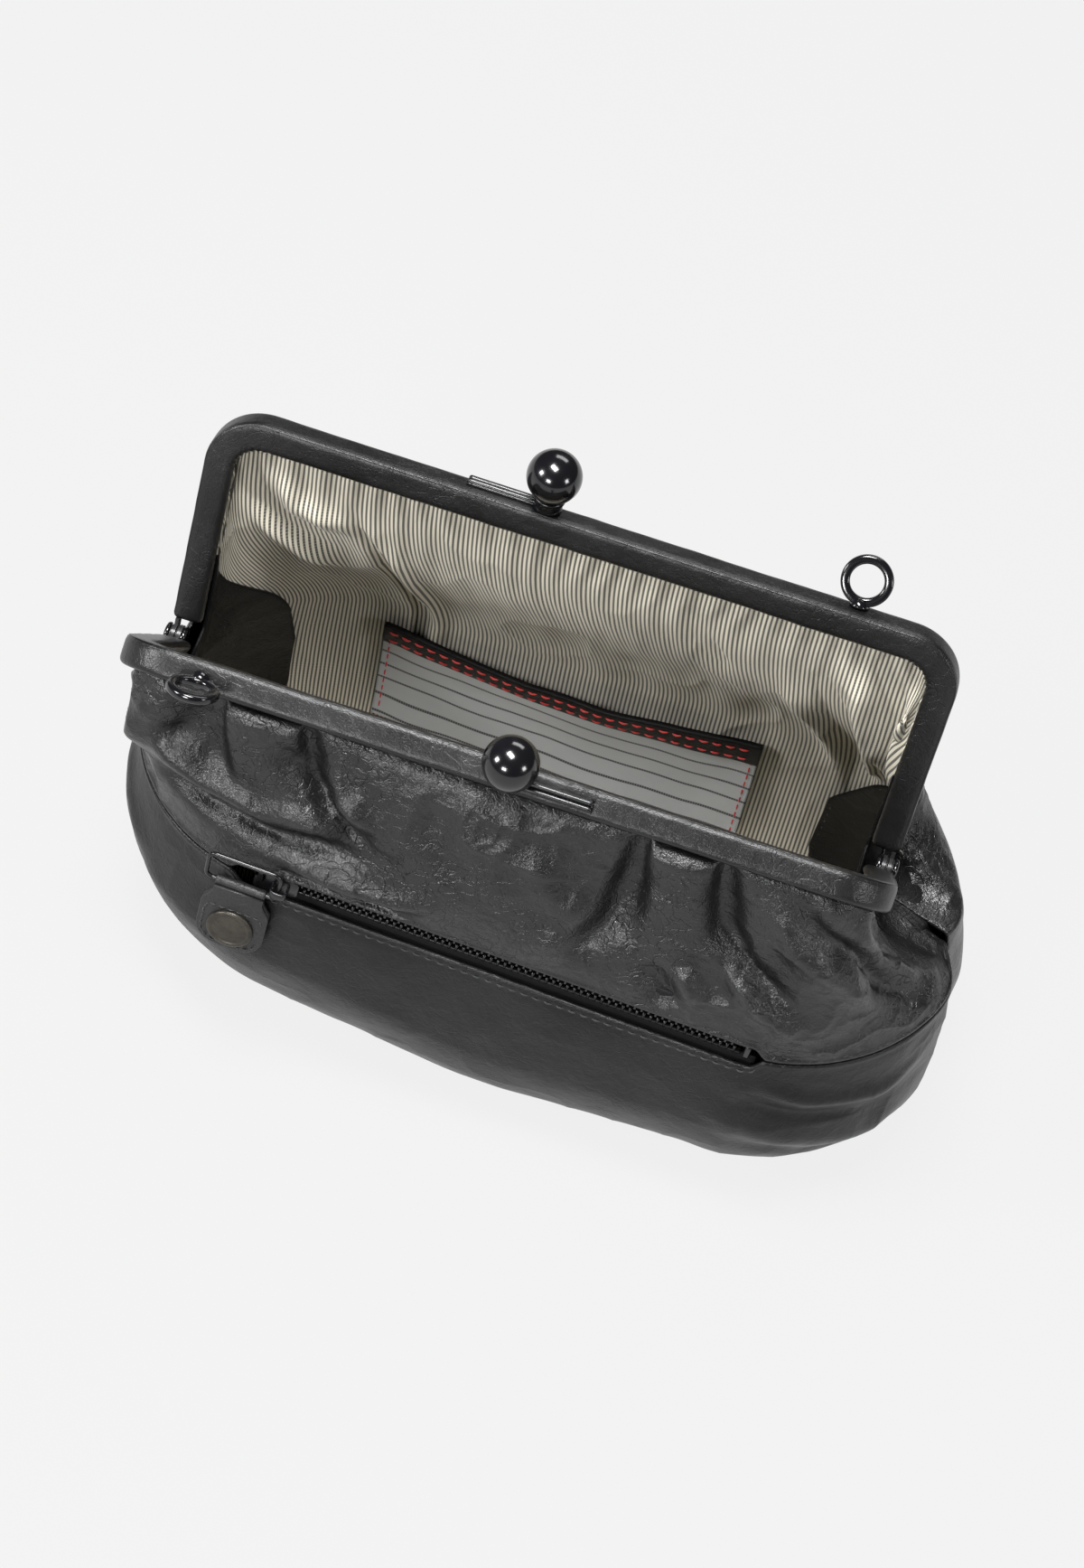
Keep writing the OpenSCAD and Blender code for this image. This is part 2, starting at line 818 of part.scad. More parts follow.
module zip_slider() {
    crown_in = loop_y - loop_d / 2 - wire_play;
    lip_end = tape_y - tape_t / 2 - slider_play;
    half = slider_h / 2;
    color("#141416")
        on_zip()
            translate([slider_x, 0, 0]) {
                translate([0, slider_out, 0])
                    rounded_plate(slider_l, slider_h, slider_plate, slider_round);
                translate([0, slider_in + slider_plate, 0])
                    rounded_plate(slider_l, slider_h, slider_plate, slider_round);
                translate([post_x, slider_out - slider_plate / 2, -post_w / 2])
                    cube([post_l, slider_in - slider_out + slider_plate, post_w]);
                for (z = [-half, half - lip_w]) {
                    translate([-slider_l / 2 + slider_round, slider_out - slider_plate / 2, z])
                        cube([slider_l - 2 * slider_round, lip_end - slider_out + slider_plate / 2, lip_w]);
                }
                for (x = [-crown_leg_x - crown_t, crown_leg_x]) {
                    translate([x, crown_in - crown_t, -crown_w / 2])
                        cube([crown_t, slider_out - slider_plate / 2 - crown_in + crown_t, crown_w]);
                }
                translate([-crown_leg_x - crown_t, crown_in - crown_t, -crown_w / 2])
                    cube([2 * (crown_leg_x + crown_t), crown_t, crown_w]);
            }
}

module on_loop() {
    on_zip()
        translate([slider_x, loop_y, loop_low])
            children();
}

module zip_pull_loop() {
    r = loop_d / 2;
    corners = [[0, 0, 270], [0, loop_h, 0], [-loop_w, loop_h, 90], [-loop_w, 0, 180]];
    color("#141416")
        on_loop() {
            for (x = [0, -loop_w]) {
                translate([x, 0, loop_corner])
                    cylinder(h = loop_h - 2 * loop_corner, r = r);
            }
            for (z = [0, loop_h]) {
                translate([-loop_w + loop_corner, 0, z])
                    rotate([0, 90, 0])
                        cylinder(h = loop_w - 2 * loop_corner, r = r);
            }
            for (c = corners) {
                translate([
                    c[0] + (c[0] == 0 ? -loop_corner : loop_corner), 0,
                    c[1] + (c[1] == 0 ? loop_corner : -loop_corner)])
                    rotate([90, 0, 0])
                        rotate([0, 0, c[2]])
                            rotate_extrude(angle = 90)
                                translate([loop_corner, 0])
                                    circle(r);
            }
        }
}

// The tab hangs from the lower bar of the loop. Local z is measured down its length
module on_tab() {
    on_loop()
        translate([-loop_w / 2, 0, 0])
            rotate([-tab_tilt, 0, 0])
                children();
}

module tab_outline() {
    hull() {
        for (x = [-1, 1]) {
            translate([x * (tab_w / 2 - tab_round), tab_len - tab_round])
                circle(tab_round);
            translate([x * (tab_w / 2 - shoulder_round), tab_neck + shoulder])
                circle(shoulder_round);
        }
    }
    narrow = neck_w / 2;
    wide = tab_w / 2;
    polygon([[-narrow, 0], [narrow, 0], [narrow, tab_neck - shoulder], [wide, tab_neck + shoulder],
        [-wide, tab_neck + shoulder], [-narrow, tab_neck - shoulder]]);
}

module zip_pull_tab() {
    color("#1f1e20")
        on_tab()
            difference() {
                union() {
                    translate([-neck_w / 2, 0, 0])
                        rotate([0, 90, 0])
                            cylinder(h = neck_w, r = eye_r + eye_t);
                    translate([0, -tab_out + tab_t / 2, 0])
                        rotate([90, 0, 0])
                            mirror([0, 1, 0])
                                linear_extrude(tab_t)
                                    difference() {
                                        tab_outline();
                                        translate([-tab_w, -cut])
                                            square([2 * tab_w, cut + eye_r]);
                                    }
                }
                translate([-neck_w, 0, 0])
                    rotate([0, 90, 0])
                        cylinder(h = 2 * neck_w, r = eye_r);
                translate([0, 0, -stud_drop])
                    rotate([90, 0, 0])
                        cylinder(h = 4 * tab_t, r = shank_r + fit_gap, center = true);
                translate([0, -tab_out + tab_t / 2 - stud_back_t - fit_gap, -stud_drop])
                    rotate([-90, 0, 0])
                        cylinder(h = tab_t, r = stud_back_r + fit_gap);
            }
}

module pull_stud() {
    back = -tab_out + tab_t / 2 - stud_back_t;
    front = -tab_out - tab_t / 2 - fit_gap;
    color("#4a453c")
        on_tab()
            translate([0, 0, -stud_drop]) {
                translate([0, back, 0])
                    rotate([-90, 0, 0])
                        cylinder(h = stud_back_t, r = stud_back_r);
                translate([0, front - stud_t / 2, 0])
                    rotate([-90, 0, 0])
                        cylinder(h = back - front + stud_t / 2 + stud_back_t / 2, r = shank_r);
                translate([0, front - stud_t * stud_step, 0])
                    rotate([-90, 0, 0])
                        cylinder(h = stud_t * stud_step, r = stud_d / 2);
                translate([0, front - stud_t, 0])
                    rotate([-90, 0, 0])
                        cylinder(h = stud_t, r = stud_d / 2 - stud_edge);
            }
}

frame_channel(-1);  // front_frame_channel
frame_cover(-1);  // front_frame_cover
frame_cord(-1);  // front_frame_cord
clasp_plate(-1);  // front_clasp_plate
clasp_ball(-1);  // front_clasp_ball
strap_ring(-1);  // front_strap_ring
frame_channel(1);  // rear_frame_channel
frame_cover(1);  // rear_frame_cover
frame_cord(1);  // rear_frame_cord
clasp_plate(1);  // rear_clasp_plate
clasp_ball(1);  // rear_clasp_ball
strap_ring(1);  // rear_strap_ring
hinge_rivet(true);  // left_hinge_rivet
hinge_rivet(false);  // right_hinge_rivet
hinge_washers(true);  // left_hinge_washers
hinge_washers(false);  // right_hinge_washers
upper_front_panel();
lower_front_panel();
rear_panel();
front_lining();
rear_lining();
slip_pocket();
slip_pocket_binding();
hinge_patch(true);  // left_hinge_patch
hinge_patch(false);  // right_hinge_patch
zip_tape(true);  // zip_tape_upper
zip_tape(false);  // zip_tape_lower
zip_teeth(true);  // zip_teeth_upper
zip_teeth(false);  // zip_teeth_lower
zip_stop(slider_x - slider_l / 2 - stop_gap - stop_w);  // zip_top_stop
zip_stop(zip_x0 + zip_len + stop_gap);  // zip_end_stop
zip_pocket_bag();
zip_slider();
zip_pull_loop();
zip_pull_tab();
pull_stud();
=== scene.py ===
import math
import bpy
import numpy as np
from mathutils import Matrix, Vector


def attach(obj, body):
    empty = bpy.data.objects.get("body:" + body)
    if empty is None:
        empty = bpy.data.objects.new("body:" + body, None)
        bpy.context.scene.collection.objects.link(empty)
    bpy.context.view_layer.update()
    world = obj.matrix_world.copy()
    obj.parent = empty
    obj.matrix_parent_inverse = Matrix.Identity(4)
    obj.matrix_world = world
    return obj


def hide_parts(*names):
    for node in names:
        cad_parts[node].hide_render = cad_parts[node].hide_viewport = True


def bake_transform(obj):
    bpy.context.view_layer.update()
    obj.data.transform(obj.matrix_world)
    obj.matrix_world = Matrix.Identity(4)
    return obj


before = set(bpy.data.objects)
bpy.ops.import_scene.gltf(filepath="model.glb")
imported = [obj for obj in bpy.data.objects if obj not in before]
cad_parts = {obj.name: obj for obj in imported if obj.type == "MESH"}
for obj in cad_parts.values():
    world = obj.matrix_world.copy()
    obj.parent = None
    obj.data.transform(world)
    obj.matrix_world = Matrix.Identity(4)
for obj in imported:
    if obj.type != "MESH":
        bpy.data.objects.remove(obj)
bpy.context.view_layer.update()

RNG = np.random.default_rng(7)
MM = 0.001

# Sizes in millimetres, as the frame has them, from the ground under the hinge line
HINGE = np.array([0.0, 0.0, 80.0])
LEAN = {-1: math.radians(42), 1: math.radians(17)}
FRAME_W, FRAME_H, CORNER_R, FACE, THICK = 198.0, 68.0, 15.0, 8.0, 7.6
MATE = 0.15
ZIP_X0, ZIP_LEN, ZIP_SLOPE, SEAM_Z = -44.0, 120.0, math.radians(2.8), 68.0
ZIP_MID = ZIP_X0 + ZIP_LEN / 2
SEAM_Y = -59.7
LEG_START = 3
LEATHER_T, LINING_T = 1.1, 0.6
LINING_DROP = 58
POCKET_W, POCKET_H = 107, 40
SIDES = {-1: "front", 1: "rear"}


def lerp(a, b, t):
    return a + (b - a) * t


def smooth(t):
    t = np.clip(t, 0, 1)
    return t * t * (3 - 2 * t)


def bump(x, centre, half):
    """1 at the centre, 0 beyond half a width, smooth between."""
    return smooth(1 - np.abs(x - centre) / half)


def unit(v):
    return v / np.maximum(np.linalg.norm(v, axis=-1, keepdims=True), 1e-9)


def leaned(side, x, y, h):
    """Point of a frame half from its place when shut; h is the height above the hinge axis."""
    a = LEAN[side]
    x, y, h = np.broadcast_arrays(np.asarray(x, float), y, h)
    return np.stack([x, -side * (y * math.cos(a) - h * math.sin(a)),
        HINGE[2] + h * math.cos(a) + y * math.sin(a)], -1)


def on_zip(x, y, z):
    """Point of the zip's own line: x along it, z above it."""
    x, y, z = np.broadcast_arrays(np.asarray(x, float), y, z)
    c, s = math.cos(ZIP_SLOPE), math.sin(ZIP_SLOPE)
    return np.stack([ZIP_MID + (x - ZIP_MID) * c + z * s, y, SEAM_Z - (x - ZIP_MID) * s + z * c],
        -1)


def run_of(path):
    """Running length at each point of a path."""
    return np.concatenate([[0], np.cumsum(np.linalg.norm(np.diff(path, axis=0), axis=1))])


def resampled(at, run, values):
    return np.stack([np.interp(at, run, values[:, k]) for k in range(3)], -1)


def column_lengths(p):
    return np.linalg.norm(np.diff(p, axis=0), axis=-1).sum(axis=0)


def from_end(s):
    """Share of the way from the nearer end."""
    return np.minimum(s, 1 - s)


def circle(n):
    return np.linspace(0, 2 * math.pi, n, endpoint=False)


def squared(a, c, power):
    return a * np.sign(c) * np.abs(c) ** (2 / power)


def put(p, place):
    """Points moved by a 4x4."""
    return p @ place[:3, :3].T + place[:3, 3]


# Meshes

def mesh_object(name, verts, faces, mat, uv=None, smooth_shade=True):
    """Object from vertices in millimetres and faces; uv is one pair per vertex, in millimetres."""
    me = bpy.data.meshes.new(name)
    me.from_pydata((np.asarray(verts, float).reshape(-1, 3) * MM).tolist(), [],
        [list(map(int, f)) for f in faces])
    me.validate()
    if uv is not None:
        uv = np.asarray(uv, float).reshape(-1, 2) * MM
        layer = me.uv_layers.new(name="cloth")
        index = np.empty(len(me.loops), int)
        me.loops.foreach_get("vertex_index", index)
        layer.data.foreach_set("uv", uv[index].ravel())
    me.polygons.foreach_set("use_smooth", [smooth_shade] * len(me.polygons))
    me.materials.append(mat)
    ob = bpy.data.objects.new(name, me)
    bpy.context.scene.collection.objects.link(ob)
    return ob


def grid_faces(rows, cols, wrap=False, base=0):
    j, i = np.meshgrid(np.arange(rows - 1), np.arange(cols if wrap else cols - 1), indexing="ij")
    k = (i + 1) % cols
    corners = [j * cols + i, j * cols + k, (j + 1) * cols + k, (j + 1) * cols + i]
    return np.stack(corners, -1).reshape(-1, 4) + base


def normals(p):
    """Normals of a grid of points, from its own neighbours."""
    du = np.gradient(p, axis=1)
    dv = np.gradient(p, axis=0)
    return unit(np.cross(du, dv))


def arc_uv(p):
    """Cloth coordinates of a grid: running length along the middle row and down each column."""
    du = np.linalg.norm(np.diff(p, axis=1), axis=-1).mean(axis=0)
    u = np.concatenate([[0], np.cumsum(du)])
    dv = np.linalg.norm(np.diff(p, axis=0), axis=-1)
    v = np.concatenate([np.zeros((1, p.shape[1])), np.cumsum(dv, axis=0)])
    return np.stack([np.broadcast_to(u, v.shape), v], -1)


def cloth_object(name, p, t, mat, uv=None, flip=False):
    """Sheet of thickness t behind a grid of points, closed round its edge; flip turns it over."""
    rows, cols = p.shape[:2]
    n = normals(p) * (-1 if flip else 1)
    back = p - n * t
    verts = np.concatenate([p.reshape(-1, 3), back.reshape(-1, 3)])
    f = grid_faces(rows, cols)
    g = f[:, ::-1] + rows * cols
    top, bottom = np.arange(cols), np.arange(cols) + (rows - 1) * cols
    left, right = np.arange(rows) * cols, np.arange(rows) * cols + cols - 1
    faces = [f, g]
    for line, way in ((top, 1), (bottom, -1), (left, -1), (right, 1)):
        a, b = line[:-1], line[1:]
        q = np.stack([b, a, a + rows * cols, b + rows * cols], -1)
        faces.append(q if way > 0 else q[:, ::-1])
    faces = np.concatenate(faces)
    if flip:
        faces = faces[:, ::-1]
    if uv is None:
        uv = arc_uv(p)
    return mesh_object(name, verts, faces, mat, np.concatenate([uv.reshape(-1, 2)] * 2))


def frames_along(path, up):
    """Tangent and two cross directions along a path; up is one direction or one per point."""
    t = unit(np.gradient(path, axis=0))
    up = np.broadcast_to(np.asarray(up, float), path.shape)
    b = unit(np.cross(t, up))
    return t, b, np.cross(b, t)


def sweep(path, section, up, closed=False, scale=None):
    """Points of a section (a, b pairs) carried along a path. Returns rows of section points."""
    path = np.asarray(path, float)
    if closed:
        wide = np.concatenate([path[-1:], path, path[:1]])
        t = unit(np.gradient(wide, axis=0))[1:-1]
        up = np.broadcast_to(np.asarray(up, float), path.shape)
        b = unit(np.cross(t, up))
        n = np.cross(b, t)
    else:
        t, b, n = frames_along(path, up)
    sec = np.asarray(section, float)
    if sec.ndim == 2:
        sec = np.broadcast_to(sec, (len(path),) + sec.shape)
    if scale is not None:
        sec = sec * np.asarray(scale).reshape(-1, 1, 1)
    return path[:, None] + b[:, None] * sec[..., :1] + n[:, None] * sec[..., 1:]


def tube_faces(rows, cols, closed=False, caps=True, base=0):
    f = list(map(tuple, grid_faces(rows, cols, wrap=True, base=base)))
    if closed:
        for i in range(cols):
            k = (i + 1) % cols
            f.append((base + (rows - 1) * cols + i, base + (rows - 1) * cols + k, base + k,
                base + i))
    elif caps:
        f.append(tuple(base + i for i in reversed(range(cols))))
        f.append(tuple(base + (rows - 1) * cols + i for i in range(cols)))
    return f


def ring(n, a, b=None, power=2.0):
    """Closed round section, n points, half sizes a and b; a power over 2 squares it."""
    th = np.arange(n) / n * 2 * math.pi
    c, s = np.cos(th), np.sin(th)
    return np.stack([squared(a, c, power), squared(b or a, s, power)], -1)


class Parts:
    """Collects several swept or revolved bodies into one mesh."""

    def __init__(self):
        self.v, self.f, self.uv, self.n = [], [], [], 0

    def add(self, verts, faces, uv=None):
        verts = np.asarray(verts, float).reshape(-1, 3)
        self.f += [tuple(int(i) + self.n for i in f) for f in faces]
        self.v.append(verts)
        self.uv.append(np.zeros((len(verts), 2)) if uv is None
            else np.asarray(uv, float).reshape(-1, 2))
        self.n += len(verts)

    def tube(self, path, section, up, closed=False, scale=None):
        p = sweep(path, section, up, closed, scale)
        length = run_of(np.asarray(path, float))
        girth = np.arange(p.shape[1]) / p.shape[1]
        uv = np.stack(np.broadcast_arrays(length[:, None], girth[None] * 6), -1)
        self.add(p, tube_faces(p.shape[0], p.shape[1], closed), uv)

    def turned(self, profile, place, n=48):
        """Profile of (radius, height) pairs turned about the local z axis, then placed by a 4x4."""
        th = np.arange(n) / n * 2 * math.pi
        prof = np.asarray(profile, float)
        p = np.stack([prof[:, :1] * np.cos(th), prof[:, :1] * np.sin(th),
                      np.broadcast_to(prof[:, 1:], (len(prof), n))], -1)
        self.add(put(p.reshape(-1, 3), place), [f[::-1] for f in tube_faces(len(prof), n)])

    def make(self, name, mat, smooth_shade=True):
        return mesh_object(name, np.concatenate(self.v), self.f, mat, np.concatenate(self.uv),
            smooth_shade)


def place_at(origin, z, x=(1, 0, 0)):
    """4x4 that puts local z along z and local x near x."""
    z = unit(np.asarray(z, float))
    y = unit(np.cross(z, np.asarray(x, float)))
    m = np.eye(4)
    m[:3, 0], m[:3, 1], m[:3, 2], m[:3, 3] = np.cross(y, z), y, z, origin
    return m


def auto_smooth(ob, angle=40):
    bpy.context.view_layer.objects.active = ob
    ob.select_set(True)
    bpy.ops.object.shade_auto_smooth(angle=math.radians(angle))
    ob.select_set(False)
    return ob


# Materials

class Nodes:
    """Small helper to write a node tree."""

    def __init__(self, name):
        self.mat = bpy.data.materials.new(name)
        self.mat.use_nodes = True
        self.tree = self.mat.node_tree
        self.bsdf = self.tree.nodes["Principled BSDF"]

    def add(self, kind, **inputs):
        n = self.tree.nodes.new(kind)
        for k, v in inputs.items():
            if k.startswith("_"):
                setattr(n, k[1:], v)
            else:
                self.link(v, n.inputs[int(k[1:]) if k[0] == "i" and k[1:].isdigit()
                    else k.replace("_", " ")])
        return n

    def link(self, value, socket):
        if isinstance(value, bpy.types.NodeSocket):
            self.tree.links.new(value, socket)
        elif isinstance(value, bpy.types.Node):
            self.tree.links.new(value.outputs[0], socket)
        else:
            socket.default_value = value

    def math(self, op, a, b=0.0, c=0.0, clamp=False):
        n = self.add("ShaderNodeMath", _operation=op, _use_clamp=clamp, i0=a, i1=b)
        if op in ("MULTIPLY_ADD", "SMOOTH_MIN", "SMOOTH_MAX", "WRAP", "COMPARE"):
            self.link(c, n.inputs[2])
        return n.outputs[0]

    def ramp(self, fac, *stops):
        n = self.add("ShaderNodeValToRGB", Fac=fac)
        e = n.color_ramp.elements
        while len(e) < len(stops):
            e.new(0.5)
        for el, (pos, col) in zip(e, stops):
            el.position = pos
            el.color = (col, col, col, 1) if isinstance(col, (int, float)) else (*col, 1)
        return n.outputs[0]

    def mix(self, fac, a, b, blend="MIX"):
        n = self.add("ShaderNodeMix", _data_type="RGBA", _blend_type=blend)
        self.link(fac, n.inputs[0])
        self.link(a if not isinstance(a, tuple) else (*a, 1), n.inputs[6])
        self.link(b if not isinstance(b, tuple) else (*b, 1), n.inputs[7])
        return n.outputs[2]

    def noise(self, vec, scale, detail=3.0, rough=0.5, distort=0.0):
        n = self.add("ShaderNodeTexNoise", Vector=vec, Scale=scale, Detail=detail, Roughness=rough,
            Distortion=distort)
        return n.outputs["Fac"]

    def object_coords(self):
        return self.add("ShaderNodeTexCoord").outputs["Object"]

    def uv(self):
        n = self.add("ShaderNodeUVMap", _uv_map="cloth")
        return n.outputs["UV"]

    def bump(self, height, distance, strength=1.0, normal=None):
        n = self.add("ShaderNodeBump", Height=height, Distance=distance, Strength=strength)
        if normal is not None:
            self.link(normal, n.inputs["Normal"])
        return n.outputs["Normal"]

    def set(self, **inputs):
        for k, v in inputs.items():
            self.link(v, self.bsdf.inputs[k.replace("_", " ")])
        return self.mat


def leather_material(name, color, rough, grain, wrinkle, spec=0.5, coat=0.0, hair=190.0):
    """Fine grained smooth leather: pebbled cells with painted shade in the grooves between them,
    hair creases and slow tone changes.
    """
    m = Nodes(name)
    v = m.object_coords()
    warp = m.add("ShaderNodeTexNoise", Vector=v, Scale=120.0, Detail=2.0)
    moved = m.add("ShaderNodeVectorMath", _operation="MULTIPLY_ADD", i0=warp.outputs["Color"],
        i1=(0.004,) * 3, i2=v)
    cells = m.add("ShaderNodeTexVoronoi", _feature="DISTANCE_TO_EDGE", Vector=moved.outputs[0],
        Scale=1150.0)
    fine = m.add("ShaderNodeTexVoronoi", _feature="DISTANCE_TO_EDGE", Vector=moved.outputs[0],
        Scale=2300.0)
    cell = m.ramp(cells.outputs[0], (0.0, 0.0), (0.16, 1.0))
    small = m.ramp(fine.outputs[0], (0.0, 0.0), (0.2, 1.0))
    creases = m.add("ShaderNodeTexVoronoi", _feature="DISTANCE_TO_EDGE", Vector=m.add(
        "ShaderNodeVectorMath", _operation="MULTIPLY_ADD", i0=warp.outputs["Color"], i1=(0.02,) * 3,
        i2=v).outputs[0],
        Scale=hair)
    crease = m.ramp(creases.outputs[0], (0.0, 0.0), (0.06, 1.0))
    slow = m.noise(v, 28.0, 4.0, 0.6)
    where = m.ramp(m.noise(v, 45.0, 3.0, 0.55), (0.4, 0.0), (0.6, 1.0))
    height = m.math("ADD", m.math("MULTIPLY", cell, 0.55), m.math("MULTIPLY", small, 0.3))
    n1 = m.bump(height, 0.00004 * grain)
    n2 = m.bump(m.math("MULTIPLY", crease, where), 0.00013 * wrinkle, 1.0, n1)
    n3 = m.bump(m.noise(v, 260.0, 4.0, 0.6, 0.6), 0.0006 * wrinkle, 0.9, n2)
    dark = tuple(c * 0.55 for c in color)
    light = tuple(min(c * 1.6 + 0.003, 1) for c in color)
    tone = m.mix(m.ramp(slow, (0.3, 0.0), (0.75, 1.0)), dark, light)
    # Painted shade: the colour darkens towards black in the grooves between the grain cells, where
    # the bump is lowest
    tone = m.mix(m.math("MULTIPLY", m.math("SUBTRACT", 1.0, cell), 0.45), tone,
        (0.002, 0.002, 0.002))
    r = m.math("ADD", rough - 0.07, m.math("MULTIPLY", m.noise(v, 90.0, 4.0, 0.6), 0.16))
    return m.set(Base_Color=tone, Roughness=r, Normal=n3, Specular_IOR_Level=spec, Coat_Weight=coat,
                 Coat_Roughness=0.3)


def metal_black(name, rough, coat=0.0, color=(0.004, 0.004, 0.005), spec=0.5):
    """Black enamelled metal with faint handling marks."""
    m = Nodes(name)
    v = m.object_coords()
    marks = m.noise(v, 420.0, 3.0, 0.7)
    worn = m.ramp(m.noise(v, 160.0, 5.0, 0.7, 0.4), (0.5, 0.0), (0.8, 1.0))
    r = m.math("ADD", rough, m.math("MULTIPLY", worn, 0.06))
    n = m.bump(marks, 0.000004, 0.6)
    col = m.mix(m.math("MULTIPLY", worn, 0.3), color, tuple(c * 2.5 for c in color))
    return m.set(Base_Color=col, Roughness=r, Normal=n, Specular_IOR_Level=spec, Coat_Weight=coat,
                 Coat_Roughness=0.06)


def bronze_material():
    m = Nodes("bronze_grey")
    v = m.object_coords()
    patina = m.ramp(m.noise(v, 210.0, 5.0, 0.65, 0.3), (0.35, 0.0), (0.7, 1.0))
    col = m.mix(patina, (0.035, 0.032, 0.028), (0.085, 0.076, 0.062))
    return m.set(Base_Color=col, Metallic=0.75, Roughness=m.math("ADD", 0.34,
        m.math("MULTIPLY", patina, 0.14)),
                 Normal=m.bump(m.noise(v, 600.0, 3.0, 0.6), 0.00001, 0.7))


def weave(m, u, v, pitch):
    """Height of a plain weave in cloth coordinates, threads at the given pitch in metres."""
    a = m.math("SINE", m.math("MULTIPLY", u, 2 * math.pi / pitch))
    b = m.math("SINE", m.math("MULTIPLY", v, 2 * math.pi / pitch))
    return m.math("MULTIPLY_ADD", m.math("MULTIPLY", a, b), 0.5, 0.5)


def split(m, vec):
    n = m.add("ShaderNodeSeparateXYZ", Vector=vec)
    return n.outputs[0], n.outputs[1]


def ticking_material(name="ticking_cotton"):
    """Cream cotton with thin dotted dark stripes running down the cloth."""
    m = Nodes(name)
    u, v = split(m, m.uv())
    shake = m.noise(m.object_coords(), 300.0, 2.0)
    stripe = m.math("FRACT", m.math("ADD", m.math("DIVIDE", u, 0.00127),
        m.math("MULTIPLY", shake, 0.07)))
    near = m.math("ABSOLUTE", m.math("SUBTRACT", stripe, 0.5))
    line = m.ramp(near, (0.2, 1.0), (0.26, 0.0))
    thread = m.math("FRACT", m.math("DIVIDE", v, 0.00052))
    dots = m.ramp(m.math("ABSOLUTE", m.math("SUBTRACT", thread, 0.5)), (0.32, 1.0), (0.45, 0.6))
    ink = m.math("MULTIPLY", line, dots)
    cloth = m.mix(m.noise(m.object_coords(), 60.0, 4.0, 0.6), (0.55, 0.51, 0.415),
        (0.63, 0.59, 0.485))
    col = m.mix(m.math("MULTIPLY", ink, 0.93), cloth, (0.018, 0.02, 0.021))
    h = weave(m, u, v, 0.0005)
    n = m.bump(h, 0.00008, 0.6)
    n = m.bump(m.noise(m.object_coords(), 180.0, 3.0, 0.6), 0.0003, 0.5, n)
    return m.set(Base_Color=col, Roughness=0.85, Normal=n, Specular_IOR_Level=0.25,
        Sheen_Weight=0.15)


def satin_material():
    """Pale blue grey satin with wavy dotted black lines across."""
    m = Nodes("satin_pale")
    u, v = split(m, m.uv())
    wave = m.noise(m.add("ShaderNodeCombineXYZ", X=u, Y=0.0, Z=0.0), 36.0, 1.0)
    line = m.math("FRACT", m.math("DIVIDE", m.math("ADD", v, m.math("MULTIPLY", wave, 0.0035)),
        0.0062))
    near = m.math("ABSOLUTE", m.math("SUBTRACT", line, 0.5))
    ink = m.ramp(near, (0.055, 1.0), (0.085, 0.0))
    dash = m.math("FRACT", m.math("DIVIDE", u, 0.0007))
    dots = m.ramp(m.math("ABSOLUTE", m.math("SUBTRACT", dash, 0.5)), (0.3, 1.0), (0.45, 0.55))
    cloth = m.mix(m.noise(m.object_coords(), 40.0, 3.0, 0.6), (0.35, 0.365, 0.38),
        (0.43, 0.445, 0.46))
    col = m.mix(m.math("MULTIPLY", ink, dots), cloth, (0.012, 0.014, 0.02))
    h = m.math("SINE", m.math("MULTIPLY", v, 2 * math.pi / 0.00045))
    n = m.bump(h, 0.00003, 0.5)
    n = m.bump(m.noise(m.object_coords(), 150.0, 3.0, 0.6), 0.0004, 0.5, n)
    return m.set(Base_Color=col, Roughness=0.45, Normal=n, Specular_IOR_Level=0.45,
        Sheen_Weight=0.2)


def tape_material():
    m = Nodes("zip_tape_woven")
    u, v = split(m, m.uv())
    h = weave(m, u, v, 0.00055)
    # Painted light and shade: the colour is lighter on the raised threads of the weave and darker
    # between them
    col = m.mix(h, (0.004, 0.004, 0.005), (0.012, 0.012, 0.013))
    return m.set(Base_Color=col, Roughness=0.8, Normal=m.bump(h, 0.00012, 0.8),
        Specular_IOR_Level=0.3)


def thread_material(name, color):
    m = Nodes(name)
    twist = m.add("ShaderNodeTexWave", Vector=m.object_coords(), Scale=900.0, Distortion=1.5)
    # Painted shade: the colour darkens in the grooves of the twist, following the same wave as the
    # bump
    col = m.mix(twist, tuple(c * 0.6 for c in color), color)
    return m.set(Base_Color=col, Roughness=0.6, Normal=m.bump(twist, 0.00005, 0.7),
        Sheen_Weight=0.2)


LEATHER = leather_material("leather_body", (0.006, 0.0058, 0.006), 0.31, 1.2, 1.1, 0.55)
LEATHER_LOW = leather_material("leather_lower", (0.006, 0.0058, 0.006), 0.36, 0.9, 0.5, 0.3)
LEATHER_FRAME = leather_material("leather_frame", (0.006, 0.0058, 0.006), 0.34, 0.7, 0.3, 0.4)
# Painted shade: the body leather at half its colour, for the patches and the pocket binding inside
# the bag
LEATHER_PATCH_PAINTED_SHADE = leather_material("leather_patch_painted_shade", (0.003, 0.0029, 0.003), 0.46, 0.8, 0.5, 0.14)
LEATHER_TAB = leather_material("leather_tab", (0.0125, 0.012, 0.012), 0.44, 0.8, 0.4, 0.45)
METAL = metal_black("metal_gloss_black", 0.16, 0.3)
METAL_SATIN = metal_black("metal_satin_black", 0.27)
ZIP_METAL = metal_black("zip_metal_black", 0.25, 0.0, (0.009, 0.009, 0.010), 0.6)
STEEL = metal_black("hinge_steel_dark", 0.3, 0.0, (0.02, 0.02, 0.021), 0.5)
BRONZE = bronze_material()
TICKING = ticking_material()
SATIN = satin_material()
TAPE = tape_material()
THREAD_RED = thread_material("thread_red", (0.58, 0.02, 0.018))
THREAD_BLACK = thread_material("thread_black", (0.012, 0.012, 0.013))
CORD_PAPER = thread_material("cord_paper", (0.42, 0.31, 0.18))


# Slow noise and folds

LATTICE = RNG.random((32, 32, 32)) * 2 - 1


